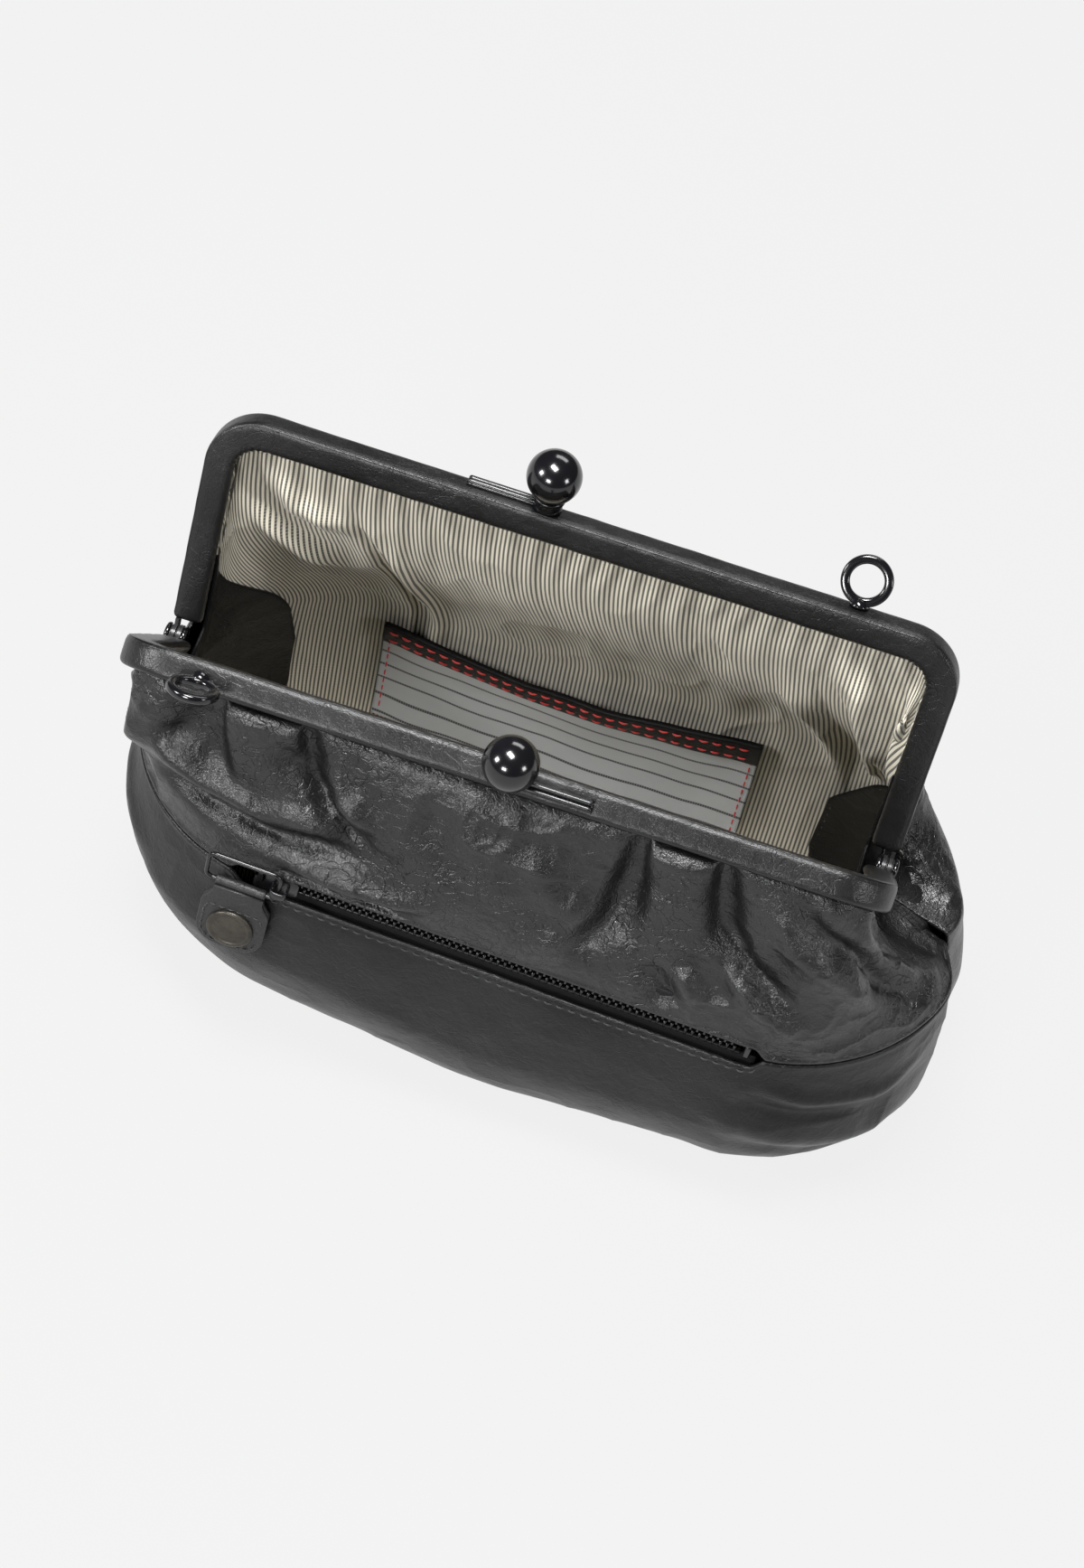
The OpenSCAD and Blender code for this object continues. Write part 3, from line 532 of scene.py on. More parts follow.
def noise(p, size, offset=0.0):
    """Smooth noise from -1 to 1 at points in millimetres, with features of the given size."""
    q = np.asarray(p, float) / size + offset
    i = np.floor(q).astype(int)
    f = q - i
    f = f * f * f * (f * (6 * f - 15) + 10)
    out = 0.0
    for dx in (0, 1):
        for dy in (0, 1):
            for dz in (0, 1):
                weight = ((f[..., 0] if dx else 1 - f[..., 0])
                    * (f[..., 1] if dy else 1 - f[..., 1])
                          * (f[..., 2] if dz else 1 - f[..., 2]))
                out = (out + weight * LATTICE[(i[..., 0] + dx) % 32, (i[..., 1] + dy) % 32,
                    (i[..., 2] + dz) % 32])
    return out


def wrinkles(p, size, offset=0.0, soft=0.004):
    """Thin ridges and valleys: sharp where the noise crosses zero."""
    q = np.asarray(p, float)
    q = (q + 0.35 * size * np.stack([noise(q, size * 1.3, 3.1), noise(q, size * 1.3, 7.7),
        noise(q, size * 1.3, 9.4)], -1))
    return 1 - 2 * np.sqrt(np.abs(noise(q, size, offset)) + soft)


def track(u, v, points, width, fade=0.3):
    """1 on a line through the points, falling to 0 on both sides and weaker towards its ends."""
    best, where = np.full(np.shape(u), 1e9), np.zeros(np.shape(u))
    pts = np.asarray(points, float)
    run = run_of(pts)
    for k in range(len(pts) - 1):
        a, b = pts[k], pts[k + 1]
        d = b - a
        t = np.clip(((u - a[0]) * d[0] + (v - a[1]) * d[1]) / (d @ d), 0, 1)
        r = np.hypot(u - a[0] - t * d[0], v - a[1] - t * d[1])
        hit = r < best
        best = np.where(hit, r, best)
        where = np.where(hit, (run[k] + t * (run[k + 1] - run[k])) / run[-1], where)
    ends = smooth(np.minimum(where, 1 - where) / fade)
    return np.exp(-(best / width) ** 2) * (0.15 + 0.85 * ends)


def with_folds(fold, u, v, gain, table):
    """Adds folds along tracks; each row has points, width and height."""
    for points, width, amount in table:
        fold = fold + gain * amount * track(u, v, points, width)
    return fold


def finished(ob, node, body=None):
    """Hides the CAD part that a piece stands for and hangs the piece on its body, where one is
    given.
    """
    if node:
        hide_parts(node)
    if body:
        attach(ob, body)
    return ob


# The leather skin

BODY_HALF, BODY_SHIFT, STRAIGHT, CORNER = 115.5, 11.5, 62.0, 0.28
FRONT_DEPTH, REAR_DEPTH, SIDE_Y = 57.0, 52.0, -5.0
WALL_END, WALL_SHARE = 1.0, 0.4
MOUTH_O = -(MATE + THICK + 0.2)
MOUTH_LEN = (2 * (FRAME_H - CORNER_R - LEG_START) + (CORNER_R - FACE / 2) * math.pi + FRAME_W
    - 2 * CORNER_R)

# From left to right: height of the belly, how far the base draws in, how round it is,
# and how far the seam draws in
KEYS = np.array([0, 0.1, 0.2, 0.35, 0.5, 0.65, 0.8, 0.9, 1.0])
SHAPE = {
    -1: {"belly": (52, 49, 46, 41, 31, 34, 39, 36, 28),
    "inset": (40, 37, 32, 25, 18, 25, 30, 25, 10),
         "round": (1.6, 1.5, 1.4, 1.5, 1.6, 1.7, 2.0, 2.2, 2.4),
         "seam": (2.5, 2.5, 2.5, 2.5, 2.5, 2.5, 2.5, 2.5, 3)},
    1: {"belly": (46, 43, 40, 37, 35, 35, 35, 34, 32),
    "inset": (28, 24, 21, 20, 20, 20, 19, 17, 14),
        "round": (1.6, 1.8, 2.1, 2.4, 2.4, 2.4, 2.4, 2.4, 2.4),
        "seam": (2.5, 2.5, 2.5, 2.5, 2.5, 2.5, 4, 6.5, 7)}}
LATE = {-1: (1.0, 0.0), 1: (1.8, 2.1)}
FINE = np.linspace(0, 1, 401)
KERNEL = np.hanning(61) / np.hanning(61).sum()


def dense(values):
    row = np.interp(FINE, KEYS, values)
    row = np.concatenate([np.full(30, row[0]), row, np.full(30, row[-1])])
    return np.convolve(row, KERNEL, "valid")


TABLE = {side: {k: dense(v) for k, v in SHAPE[side].items()} for side in SHAPE}


def along(side, key, s):
    """Value of the shape's table at a share s. At the ends front and rear meet half way."""
    own = np.interp(s, FINE, TABLE[side][key])
    other = np.interp(s, FINE, TABLE[-side][key])
    end = from_end(s)
    return lerp((own + other) / 2, own, smooth(end / 0.07))


def u_lengths(inset, leg_start):
    """Lengths of the frame's U at an inset from its outer edge: leg, bend, bar and whole."""
    leg, bend = FRAME_H - CORNER_R - leg_start, (CORNER_R - inset) * math.pi / 2
    bar = FRAME_W - 2 * CORNER_R
    return leg, bend, bar, 2 * leg + 2 * bend + bar


def u_point(d, inset, leg_start):
    """x, height and angle of the outward direction, for a running length from the nearer end."""
    r = CORNER_R - inset
    leg, bend, bar, _ = u_lengths(inset, leg_start)
    a = np.clip((d - leg) / r, 0, math.pi / 2)
    on_leg, on_bend = d < leg, d < leg + bend
    on_bar = bar / 2 - (d - leg - bend)
    x = np.where(on_bend, FRAME_W / 2 - CORNER_R + r * np.cos(a), on_bar)
    h = np.where(on_bend, FRAME_H - CORNER_R + r * np.sin(a), FRAME_H - inset)
    return np.where(on_leg, FRAME_W / 2 - inset, x), np.where(on_leg, leg_start + d, h), a


def mouth_line(s, inset=FACE / 2):
    """x and height of a line along the frame, for a share s of its length."""
    x, h, _ = u_point(from_end(s) * u_lengths(inset, LEG_START)[3], inset, LEG_START)
    return np.where(s <= 0.5, -1.0, 1.0) * x, h


def outline(side, s, inset, z):
    """Plan outline of the bag at one height, with a valley at the side seams."""
    half, way = from_end(s), np.where(s <= 0.5, -1.0, 1.0)
    depth = (FRONT_DEPTH if side < 0 else REAR_DEPTH) - inset
    end = BODY_HALF - inset - STRAIGHT - np.where(s < 0.5, 1.5, 0.0)
    a = np.clip(half / CORNER, 0, 1) * math.pi / 2
    run = np.where(half > CORNER, STRAIGHT * (0.5 - half) / (0.5 - CORNER), STRAIGHT)
    valley = 4.5 * np.clip(1 - half / 0.05, 0, 1) ** 1.6
    x = BODY_SHIFT + way * (run + end * np.cos(a) - valley)
    y = SIDE_Y + side * (0.2 + depth * np.sin(a))
    return np.stack(np.broadcast_arrays(x, y, z), -1)


def seam_height(x):
    reach = ZIP_LEN / 2 + 10
    return SEAM_Z - math.tan(ZIP_SLOPE) * np.clip(x - ZIP_MID, -reach, reach)


def slot_half(x, wide):
    """Half height of the gap in the front seam: wide along the zip, closed beyond it."""
    low = smooth((x - (ZIP_X0 - 17)) / 5)
    high = smooth((ZIP_X0 + ZIP_LEN + 6.5 - x) / 4)
    return 0.1 + (wide - 0.1) * np.minimum(low, high)


def inset_at(side, s, z, top):
    belly, power = along(side, "belly", s), along(side, "round", s)
    up = along(side, "seam", s) * np.clip((z - belly) / (top - belly), 0, 1) ** 2
    t = np.clip((belly - z) / belly, 0, 1)
    return np.where(z > belly, up, along(side, "inset", s)
        * (1 - np.maximum(1 - t ** power, 0) ** (1 / power)))


def seam_line(side, s, wide=0.0, deep=0.0):
    inset = along(side, "seam", s) + deep
    if side > 0:
        return outline(side, s, inset, SEAM_Z + 0 * s)
    x = outline(side, s, inset, 0.0)[..., 0]
    return outline(side, s, inset, seam_height(x) + wide)


def late(side, s):
    """How long the leather hangs beside the legs before it spreads; both sides agree at the ends."""
    end = from_end(s)
    own, other = (np.where(s < 0.5, LATE[k][0], LATE[k][1]) for k in (side, -side))
    return lerp((own + other) / 2, own, smooth(end / 0.08)) * smooth(1 - end / 0.35)


def upper_skin(side, s, w, wide=0.0):
    """From the frame (w 0) to the seam (w 1)."""
    x, h = mouth_line(s)
    m = leaned(side, x, MOUTH_O, h)
    end = from_end(s)
    below = np.stack(np.broadcast_arrays(np.where(s < 0.5, -97.0, 97.0), side * 0.3, 73.0), -1)
    near = np.stack([smooth(1 - end / k) for k in (0.03, 0.025, 0.045)], -1)
    m = m + (below - m) * near
    r = seam_line(side, s, wide)
    f = smooth(w) ** (1 + late(side, s))
    g = 0.75 * w + 0.25 * (1 - (1 - w) ** 2)
    return m + (r - m) * np.stack([f, f, g], -1)


def lower_skin(side, s, w, wide=0.0, deep=0.0):
    """From the seam (w 0) to the edge of the base (w 1)."""
    top = seam_line(side, s, -wide)[..., 2]
    belly = along(side, "belly", s)
    z = np.where(w < WALL_SHARE, top + (belly - top) * w / WALL_SHARE,
                 belly - (belly - WALL_END) * np.sin(math.pi / 2
                 * np.clip((w - WALL_SHARE) / (1 - WALL_SHARE), 0, 1))
                 ** (1 / 1.1))
    inset = inset_at(side, s, z, top) + deep
    return outline(side, s, inset, z + deep * smooth((belly - z) / belly) ** 2)


DEPTH = {-1: 8.8, 1: 4.0}


def lining_skin(side, s, w, deep):
    """The skin's shape drawn in by a depth, starting at the slot of the frame."""
    x, h = mouth_line(s, FACE - 0.6)
    m = leaned(side, x, -MATE - THICK / 2 + 0.7, h)
    r = seam_line(side, s, 0.0, deep)
    v = np.clip(w, 0, 1)
    f = smooth(v) ** (1.25 + late(side, s))
    g = 0.75 * v + 0.25 * (1 - (1 - v) ** 2)
    p = m + (r - m) * np.stack([f, f, g], -1)
    p[..., 2] -= ((4.0 if side < 0 else 2.0) * np.sin(math.pi * v) ** 0.7
        * smooth(1 - from_end(s) / 0.25))
    return np.where((w <= 1)[..., None], p, lower_skin(side, s, np.clip(w - 1, 0, 1), 0.0, deep))


def end_depth(side, s, depth):
    """Depth of the lining: thin at the ends, where it is sewn in with the side seam."""
    return lerp(4.6, depth, smooth((from_end(s) - 0.10) / 0.14))


def hold(side, s, w, p, fold):
    """Keeps inward folds of the leather off the lining behind it."""
    lin = lining_skin(side, s, w, end_depth(side, s, DEPTH[side]))
    room = np.maximum(np.abs(((lin - p) * normals(p)).sum(-1)) - 3.0, 0.4)
    return np.maximum(fold, 0) - room * np.tanh(-np.minimum(fold, 0) / room)


def sheet_grid(ns, nw, s0=0.0, s1=1.0, w0=0.0, w1=1.0):
    return np.meshgrid(np.linspace(s0, s1, ns), np.linspace(w0, w1, nw))


def lifted(p, side, amount):
    """Grid of points moved outwards along its normal. side is -1 front, 1 rear."""
    return p + normals(p) * (side * amount)[..., None]


def side_fade(s):
    """Weakens the folds towards the side seams."""
    return smooth(from_end(s) / 0.02 + 0.15)


def hem(mm, roll=0.9, band=3.0, rise=0.35):
    """Height of a folded edge at a distance from it: rolled over, thicker, with a stitch groove."""
    over = roll * (1 - np.sqrt(np.clip(1 - np.clip(1 - mm / roll, 0, 1) ** 2, 0, 1)))
    return -over + rise * smooth((band - mm) / 0.8) - 0.25 * np.exp(-((mm - 2.3) / 0.4) ** 2)


def stitches(parts, path, out, length, gap, radius, sink=0.35, start=0.5):
    """Thread along a path, each stitch a short arc that dips into the cloth at both ends."""
    path = np.asarray(path, float)
    run = run_of(path)
    out = np.broadcast_to(np.asarray(out, float), path.shape)
    at = start
    sec = ring(6, radius)
    while at + length < run[-1]:
        t = np.linspace(at, at + length, 6)
        p = resampled(t, run, path)
        o = unit(resampled(t, run, out))
        arch = np.sin(np.linspace(0, math.pi, 6))
        p = p + o * ((radius + sink) * arch - sink)[:, None]
        parts.tube(p, sec, o)
        at += length + gap


SLOT_UP, SLOT_LOW = 3.8, 4.0
NS, NW = 521, 121
S, W = sheet_grid(NS, NW)
D = (S - 0.5) * MOUTH_LEN
upper = upper_skin(-1, S, W, slot_half(outline(-1, S, 2.5, 0.0)[..., 0], SLOT_UP))
LEN = column_lengths(upper)
V = W * LEN

# Pillow between the pleats and beyond them
full = np.sin(math.pi * np.clip(W, 0, 1) ** 0.6) ** 1.1
fold = 7.5 * full * bump(D, -6, 62) * (0.8 + 0.2 * noise(upper, 38))
fold += 3.5 * full * bump(D, 84, 32) + 1.5 * full * bump(D, -88, 24)
# Box pleats: a raised band with crisp edges at the bar that spreads and fades further down
for centre, half, reach in ((-59.5, 9.5, 27.0), (47.5, 8.3, 30.0)):
    spread = half * (1 + 0.22 * V / reach) + 0.5 * noise(upper, 9, 2.0)
    keep = 1 - smooth((V - reach * 0.45) / (reach * 0.75))
    soft = 0.55 + V * 0.1
    edge = np.abs(D - centre - 0.05 * V) - spread
    fold += (keep * (2.9 * smooth(0.5 - edge / (2 * soft))
        - 3.0 * np.exp(-((edge - 2.2 - V * 0.08) / (2.8 + V * 0.1)) ** 2)))
    fold += keep * 0.5 * np.cos((D - centre) / half * math.pi * 0.5) * (np.abs(D - centre) < half)
# Folds seen in the photograph, as (distance from the middle, distance below the bar)
fold = with_folds(fold, D, V, 1.45, (
        ([(-55, 3), (-49, 15), (-40, 25), (-30, 27)], 4.0, -3.0),
        ([(-44, 6), (-40, 16), (-30, 20)], 4.5, 1.6),
        ([(-96, 18), (-80, 25), (-64, 29), (-44, 24), (-30, 10)], 4.2, 2.2),
        ([(-98, 26), (-80, 33), (-62, 36), (-44, 33), (-30, 30)], 3.6, -2.6),
        ([(-64, 42), (-48, 44), (-30, 43), (-14, 36)], 4.0, 1.8),
        ([(-70, 48), (-44, 50), (-20, 46)], 3.0, -1.2),
        ([(-12, 4), (-14, 18), (-6, 30)], 5.0, -1.3), ([(10, 8), (14, 20), (24, 30)], 5.0, 1.0),
        ([(16, 42), (30, 26), (38, 10), (39, 2)], 4.2, -3.2),
        ([(6, 44), (20, 34), (30, 18)], 4.5, 1.5),
        ([(57, 2), (60, 18), (68, 27), (80, 33)], 3.4, -3.0),
        ([(60, 26), (72, 38), (84, 44)], 3.6, 2.0),
        ([(40, 34), (46, 44), (40, 50)], 4.0, -1.6), ([(50, 32), (54, 44)], 3.6, 1.6),
        ([(68, 4), (80, 16), (96, 24), (110, 34)], 4.0, 1.8),
        ([(74, 3), (88, 12), (104, 18), (124, 30)], 3.0, -2.2),
        ([(92, 4), (104, 14), (122, 20), (136, 28)], 3.4, 2.0),
        ([(96, 3), (112, 10), (134, 18)], 2.6, -2.0),
        ([(-86, 4), (-92, 14), (-100, 24)], 3.4, 1.8),
        ([(-94, 3), (-104, 12), (-118, 22)], 3.0, -2.0),
        ([(-74, 3), (-78, 12), (-88, 20)], 3.0, -2.0),
        ([(-104, 3), (-120, 12), (-138, 18)], 3.0, 1.6)))
# Gathers at the corners and along the legs
gather = smooth((np.abs(D) - 70) / 20)
fold += (gather * 0.9 * np.cos(D / 9.5 * 2 * math.pi + 1.5 * noise(upper, 16)) * np.exp(-V / 13)
    * smooth(V / 2))
crinkle = wrinkles(upper, 11.0) * 0.62 + wrinkles(upper, 5.6, 4.0) * 0.28
zone = 0.35 + 0.65 * smooth(0.5 + 1.2 * noise(upper, 30, 5.0))
fold += crinkle * zone * smooth(V / 4)
fold = hold(-1, S, W, upper, fold)
fold *= smooth(V / 2.5) ** 0.5 * smooth((LEN - V) / 4) * side_fade(S)
fold += hem(LEN - V)
fold -= 0.8 * np.clip(1 - V / 0.9, 0, 1) ** 2
upper = lifted(upper, -1, fold)
upper_front = cloth_object("upper_front_leather", upper, LEATHER_T, LEATHER, flip=True)
finished(upper_front, "upper_front_panel")

# Lower front panel
S, W = sheet_grid(NS, 131)
base_x = outline(-1, S, 2.5, 0.0)[..., 0]
lower = lower_skin(-1, S, W, slot_half(base_x, SLOT_LOW))
LEN = column_lengths(lower)
V = W * LEN
bulge = smooth((S - 0.74) / 0.14)
fold = (0.9 * noise(lower, 34, 1.0) + bulge * (wrinkles(lower, 15.0, 2.0, 0.05) * 0.3
    + wrinkles(lower, 6.0, 5.0, 0.02) * 0.1))
fold += (1 - bulge) * (wrinkles(lower, 14.0, 6.0, 0.02) * 0.16 + 0.25 * noise(lower, 11, 4.0))
fold = with_folds(fold, (S - 0.5) * MOUTH_LEN, V, 1.0, (
        ([(70, 8), (90, 16), (112, 18), (130, 12)], 3.2, 1.6),
        ([(64, 14), (88, 24), (112, 27), (134, 20)], 3.2, -1.6),
        ([(60, 22), (86, 33), (112, 36), (134, 30)], 3.6, 1.3),
        ([(72, 34), (96, 42), (122, 42)], 3.0, -1.2),
        ([(-138, 10), (-122, 22), (-104, 30)], 5.0, 1.2),
        ([(-140, 22), (-120, 34), (-100, 40)], 4.0, -1.0)))
low_seam = W * 100
fold += 0.5 * smooth((low_seam - 89) / 2) - 0.8 * np.exp(-((low_seam - 88.6) / 0.8) ** 2)
fold -= 1.0 * bump(base_x, -56, 24) * bump(V, 14, 16)
fold = hold(-1, S, W + 1.0001, lower, fold)
fold *= smooth(V / 5) * smooth((LEN - V) / 5) * side_fade(S)
fold += hem(V)
lower = lifted(lower, -1, fold)
lower_front = cloth_object("lower_front_leather", lower, LEATHER_T, LEATHER_LOW, flip=True)
finished(lower_front, "lower_front_panel", "bag")

# Stitches under the zip
on_slot = (base_x[0] > ZIP_X0 - 12) & (base_x[0] < ZIP_X0 + ZIP_LEN + 6)
parts = Parts()
row = int(round(2.3 / LEN.mean() * 130))
line = lower[row, on_slot]
stitches(parts, line, -normals(lower)[row, on_slot], 2.4, 0.8, 0.22)
finished(parts.make("lower_seam_stitches", THREAD_BLACK), None, "bag")

# Rear leather: an upper part from the frame to the seam, and the rest, which stays with the base
S, W = sheet_grid(NS, 111)
rear_up = upper_skin(1, S, W)
D = (S - 0.5) * MOUTH_LEN
LEN = column_lengths(rear_up)
V = W * LEN
fold = 3.5 * np.sin(math.pi * W) ** 1.3 * bump(D, 0, 70)
for centre, half, reach in ((-50, 9.0, 30.0), (50, 9.0, 30.0)):
    spread = half * (1 + 0.22 * V / reach)
    keep = 1 - smooth((V - reach * 0.45) / (reach * 0.8))
    edge = np.abs(D - centre) - spread
    fold += (keep * (1.8 * smooth(0.5 - edge / (1.1 + V * 0.2))
        - 1.5 * np.exp(-((edge - 2.0) / (2.6 + V * 0.1)) ** 2)))
fold = with_folds(fold, D, V, 1.0, (
        ([(-70, 4), (-60, 20), (-44, 32)], 4.5, -2.4), ([(-40, 6), (-30, 24), (-10, 34)], 5.0, 1.8),
        ([(38, 4), (28, 20), (10, 30)], 4.5, -2.2), ([(64, 4), (74, 18), (92, 30)], 4.5, 2.2),
        ([(-84, 3), (-96, 16), (-112, 26)], 4.0, 2.0),
        ([(80, 3), (94, 14), (112, 24), (130, 34)], 4.0, -2.2),
        ([(92, 3), (108, 14), (130, 22)], 3.6, 2.0), ([(-60, 44), (-20, 48), (30, 42)], 5.0, -1.4)))
fold += (smooth((np.abs(D) - 70) / 20) * 0.9 * np.cos(D / 9.0 * 2 * math.pi + 1.5
    * noise(rear_up, 16)) * np.exp(-V / 13))
fold += ((wrinkles(rear_up, 10.0, 8.0) * 0.4 + wrinkles(rear_up, 5.2, 1.0) * 0.2)
    * smooth(0.6 + noise(rear_up, 30, 2.0)))
fold = hold(1, S, W, rear_up, fold)
fold *= smooth(V / 2.5) ** 0.5 * smooth((LEN - V) / 8) * side_fade(S)
fold -= 0.8 * np.clip(1 - V / 0.9, 0, 1) ** 2
rear_up = lifted(rear_up, 1, fold)
rear_upper = cloth_object("rear_leather_upper", rear_up, LEATHER_T, LEATHER)
finished(rear_upper, "rear_panel")

S, W = sheet_grid(NS, 101)
rear_low = lower_skin(1, S, W)
LEN = column_lengths(rear_low)
V = W * LEN
fold = (1.0 * noise(rear_low, 34, 6.0) + wrinkles(rear_low, 15.0, 3.0, 0.05)
    * (0.15 + 0.35 * smooth((np.abs(S - 0.5) - 0.3) / 0.12)))
fold = hold(1, S, W + 1.0001, rear_low, fold)
fold *= smooth(V / 8) * smooth((LEN - V) / 5) * side_fade(S)
rear_low = lifted(rear_low, 1, fold)
edge_front = lower_skin(-1, S[0], np.ones(NS))
edge_rear = rear_low[-1]
base_rows = []
for k in np.concatenate([np.linspace(0, 0.12, 7)[1:], np.linspace(0.12, 1.0, 30)[1:]]):
    p = edge_rear + (edge_front - edge_rear) * k
    p[:, 1] += 1.4 * k * smooth(from_end(S[0]) / 0.05)
    lift = np.clip(1 - k / 0.03, 0, 1) ** 2 * WALL_END + 0.5 * smooth((k - 0.97) / 0.03)
    p[:, 2] = lift
    base_rows.append(p)
rear_low = np.concatenate([rear_low, np.stack(base_rows)])
rear_lower = cloth_object("rear_leather_lower", rear_low, LEATHER_T, LEATHER)
# Nothing reaches below the ground
for v in rear_lower.data.vertices:
    v.co.z = max(v.co.z, 0.0)
finished(rear_lower, "rear_panel", "bag")

# Linings. Each hangs from the frame's slot and follows the leather at a depth

def lining_grid(side):
    """Grid of one half of the lining: shares, cloth coordinates in millimetres and points."""
    s, w = sheet_grid(441, 161, 0.065, 0.935, 0.0, 1.92)
    p = lining_skin(side, s, w, end_depth(side, s, DEPTH[side]))
    return s, (s - 0.5) * MOUTH_LEN, w * LINING_DROP, p


def gathers(p, pitch, offset, size, shift, share):
    """Small gathers below the frame and slow waves further down."""
    fine = 0.75 * np.cos(D / pitch * 2 * math.pi + 2.2 * noise(p, 20, offset))
    fine = fine * np.exp(-V / 14) * smooth(V / 1.5 + 0.2)
    slow = 0.9 * noise(p * [1, 1, 0.35], size, shift) * smooth(V / 8)
    return fine + slow * (share + (1 - share) * np.exp(-V / 40))


def sewn_ends(pucker):
    return np.maximum(pucker * smooth((from_end(S) - 0.055) / 0.06), -1.3)


S, D, V, lin = lining_grid(1)
pucker = gathers(lin, 7.3, 0.0, 9, 3.0, 0.45)
pucker += wrinkles(lin * [1, 1, 0.6], 13, 2.0) * 0.45 * smooth(V / 6)
pucker = with_folds(pucker, D, V, 1.4, (
        ([(-86, 3), (-78, 12), (-62, 16)], 3.0, 2.2), ([(-96, 5), (-84, 18), (-66, 26)], 3.0, -2.0),
        ([(-92, 16), (-80, 28), (-70, 34)], 3.4, 2.0),
        ([(-66, 6), (-58, 22), (-56, 50), (-56, 80)], 2.2, -1.8),
        ([(-62, 8), (-53, 24), (-51, 50), (-51, 84)], 2.4, 1.5),
        ([(30, 4), (34, 16), (42, 26)], 3.2, -1.6),
        ([(70, 3), (78, 14), (84, 30), (86, 60)], 3.4, 3.0),
        ([(78, 2), (88, 12), (96, 30)], 3.0, -2.8),
        ([(62, 6), (72, 24), (78, 50), (80, 80)], 3.6, -2.4),
        ([(90, 6), (102, 18), (110, 34)], 3.6, 3.0),
        ([(56, 20), (66, 40), (72, 64)], 3.4, 1.8), ([(84, 24), (96, 44), (100, 64)], 3.4, 2.4)))
lin = lin - normals(lin) * sewn_ends(pucker)[..., None]
rear_lining = cloth_object("rear_lining_cloth", lin, LINING_T, TICKING, np.stack([D, V], -1),
    flip=True)
finished(rear_lining, "rear_lining")

S, D, V, lin_f = lining_grid(-1)
pucker = sewn_ends(gathers(lin_f, 7.0, 4.0, 10, 6.0, 0.4))
lin_f = lin_f + normals(lin_f) * pucker[..., None]
# It swells over the mating face in the middle and in the left corner
swell = 5.4 * bump(D, 16, 46) * bump(V, 8, 8) + 8.0 * bump(D, -94, 30) * bump(V, 9, 9)
lin_f = lin_f + swell[..., None] * np.array([0.0, math.cos(LEAN[-1]), math.sin(LEAN[-1])])
front_lining = cloth_object("front_lining_cloth", lin_f, LINING_T, TICKING, np.stack([D, V], -1))
finished(front_lining, "front_lining")

floor_rows = []
for k in np.linspace(0, 1, 40):
    p = lin[-1] + (lin_f[-1] - lin[-1]) * k
    p[:, 2] = lerp(lin[-1][:, 2], lin_f[-1][:, 2], k) - 1.5 * math.sin(math.pi * k)
    floor_rows.append(p + np.array([0, 0, 0.1]))
floor_grid = np.stack(floor_rows)
wave = 0.5 * noise(floor_grid, 12) * np.sin(np.linspace(0, math.pi, 40))[:, None]
floor_grid = floor_grid + wave[..., None] * [0, 0, 1]
floor_uv = np.stack(np.broadcast_arrays(D[0], np.linspace(0, 70, 40)[:, None]), -1)
lining_floor = cloth_object("lining_floor_cloth", floor_grid, LINING_T, TICKING, floor_uv,
    flip=True)
finished(lining_floor, "rear_lining", "bag")

# Slip pocket on the rear lining, with its bound upper edge sagging forwards

POCKET = (-50.0, 57.0)


def share_at(x):
    return 0.5 + (0.5 - CORNER) * np.clip((x - BODY_SHIFT) / STRAIGHT, -1.1, 1.1)


def pocket_grid(nu, nv, v0, v1, out=0.0):
    u, v = np.meshgrid(np.linspace(0, 1, nu), np.linspace(v0, v1, nv))
    s = share_at(lerp(POCKET[0], POCKET[1], u))
    sag = np.sin(math.pi * u) ** 1.3
    w = 1.05 + 0.48 * v + 0.045 * sag * (1 - v)
    gape = 2.6 * sag * np.clip(1 - v / 0.5, 0, 1) ** 1.5
    depth = 6.4 + gape + out + 0.45 * noise(np.stack([u * POCKET_W, v * POCKET_H, 0 * u], -1), 13)
    return u, v, lining_skin(1, s, w, depth)


u, v, pocket = pocket_grid(181, 81, 0.0, 1.0)
pocket_uv = np.stack([u * POCKET_W, v * POCKET_H], -1)
slip = cloth_object("slip_pocket_satin", pocket, 0.5, SATIN, pocket_uv, flip=True)
finished(slip, "slip_pocket", "bag")
u, v, band = pocket_grid(181, 13, -0.02, 0.20, 0.55)
band_n = -normals(band)
puff = 0.35 * np.sin(math.pi * np.linspace(0, 1, 13))[:, None] + 0.06 * noise(band, 5)
band = band + band_n * puff[..., None]
binding = cloth_object("slip_pocket_edge", band, 1.7, LEATHER_PATCH_PAINTED_SHADE, flip=True)
finished(binding, "slip_pocket_binding", "bag")
parts = Parts()
for row in (3, 9):
    stitches(parts, band[row, 2:-2], band_n[row, 2:-2], 2.5, 1.2, 0.27, 0.25)
for col in (3, -4):
    side_line = pocket[6:, col]
    stitches(parts, side_line, -normals(pocket)[6:, col], 2.4, 1.0, 0.22, 0.25)
red = parts.make("slip_pocket_stitches", THREAD_RED)
finished(red, None, "bag")

# Leather patches inside both ends, over the lining's side edges

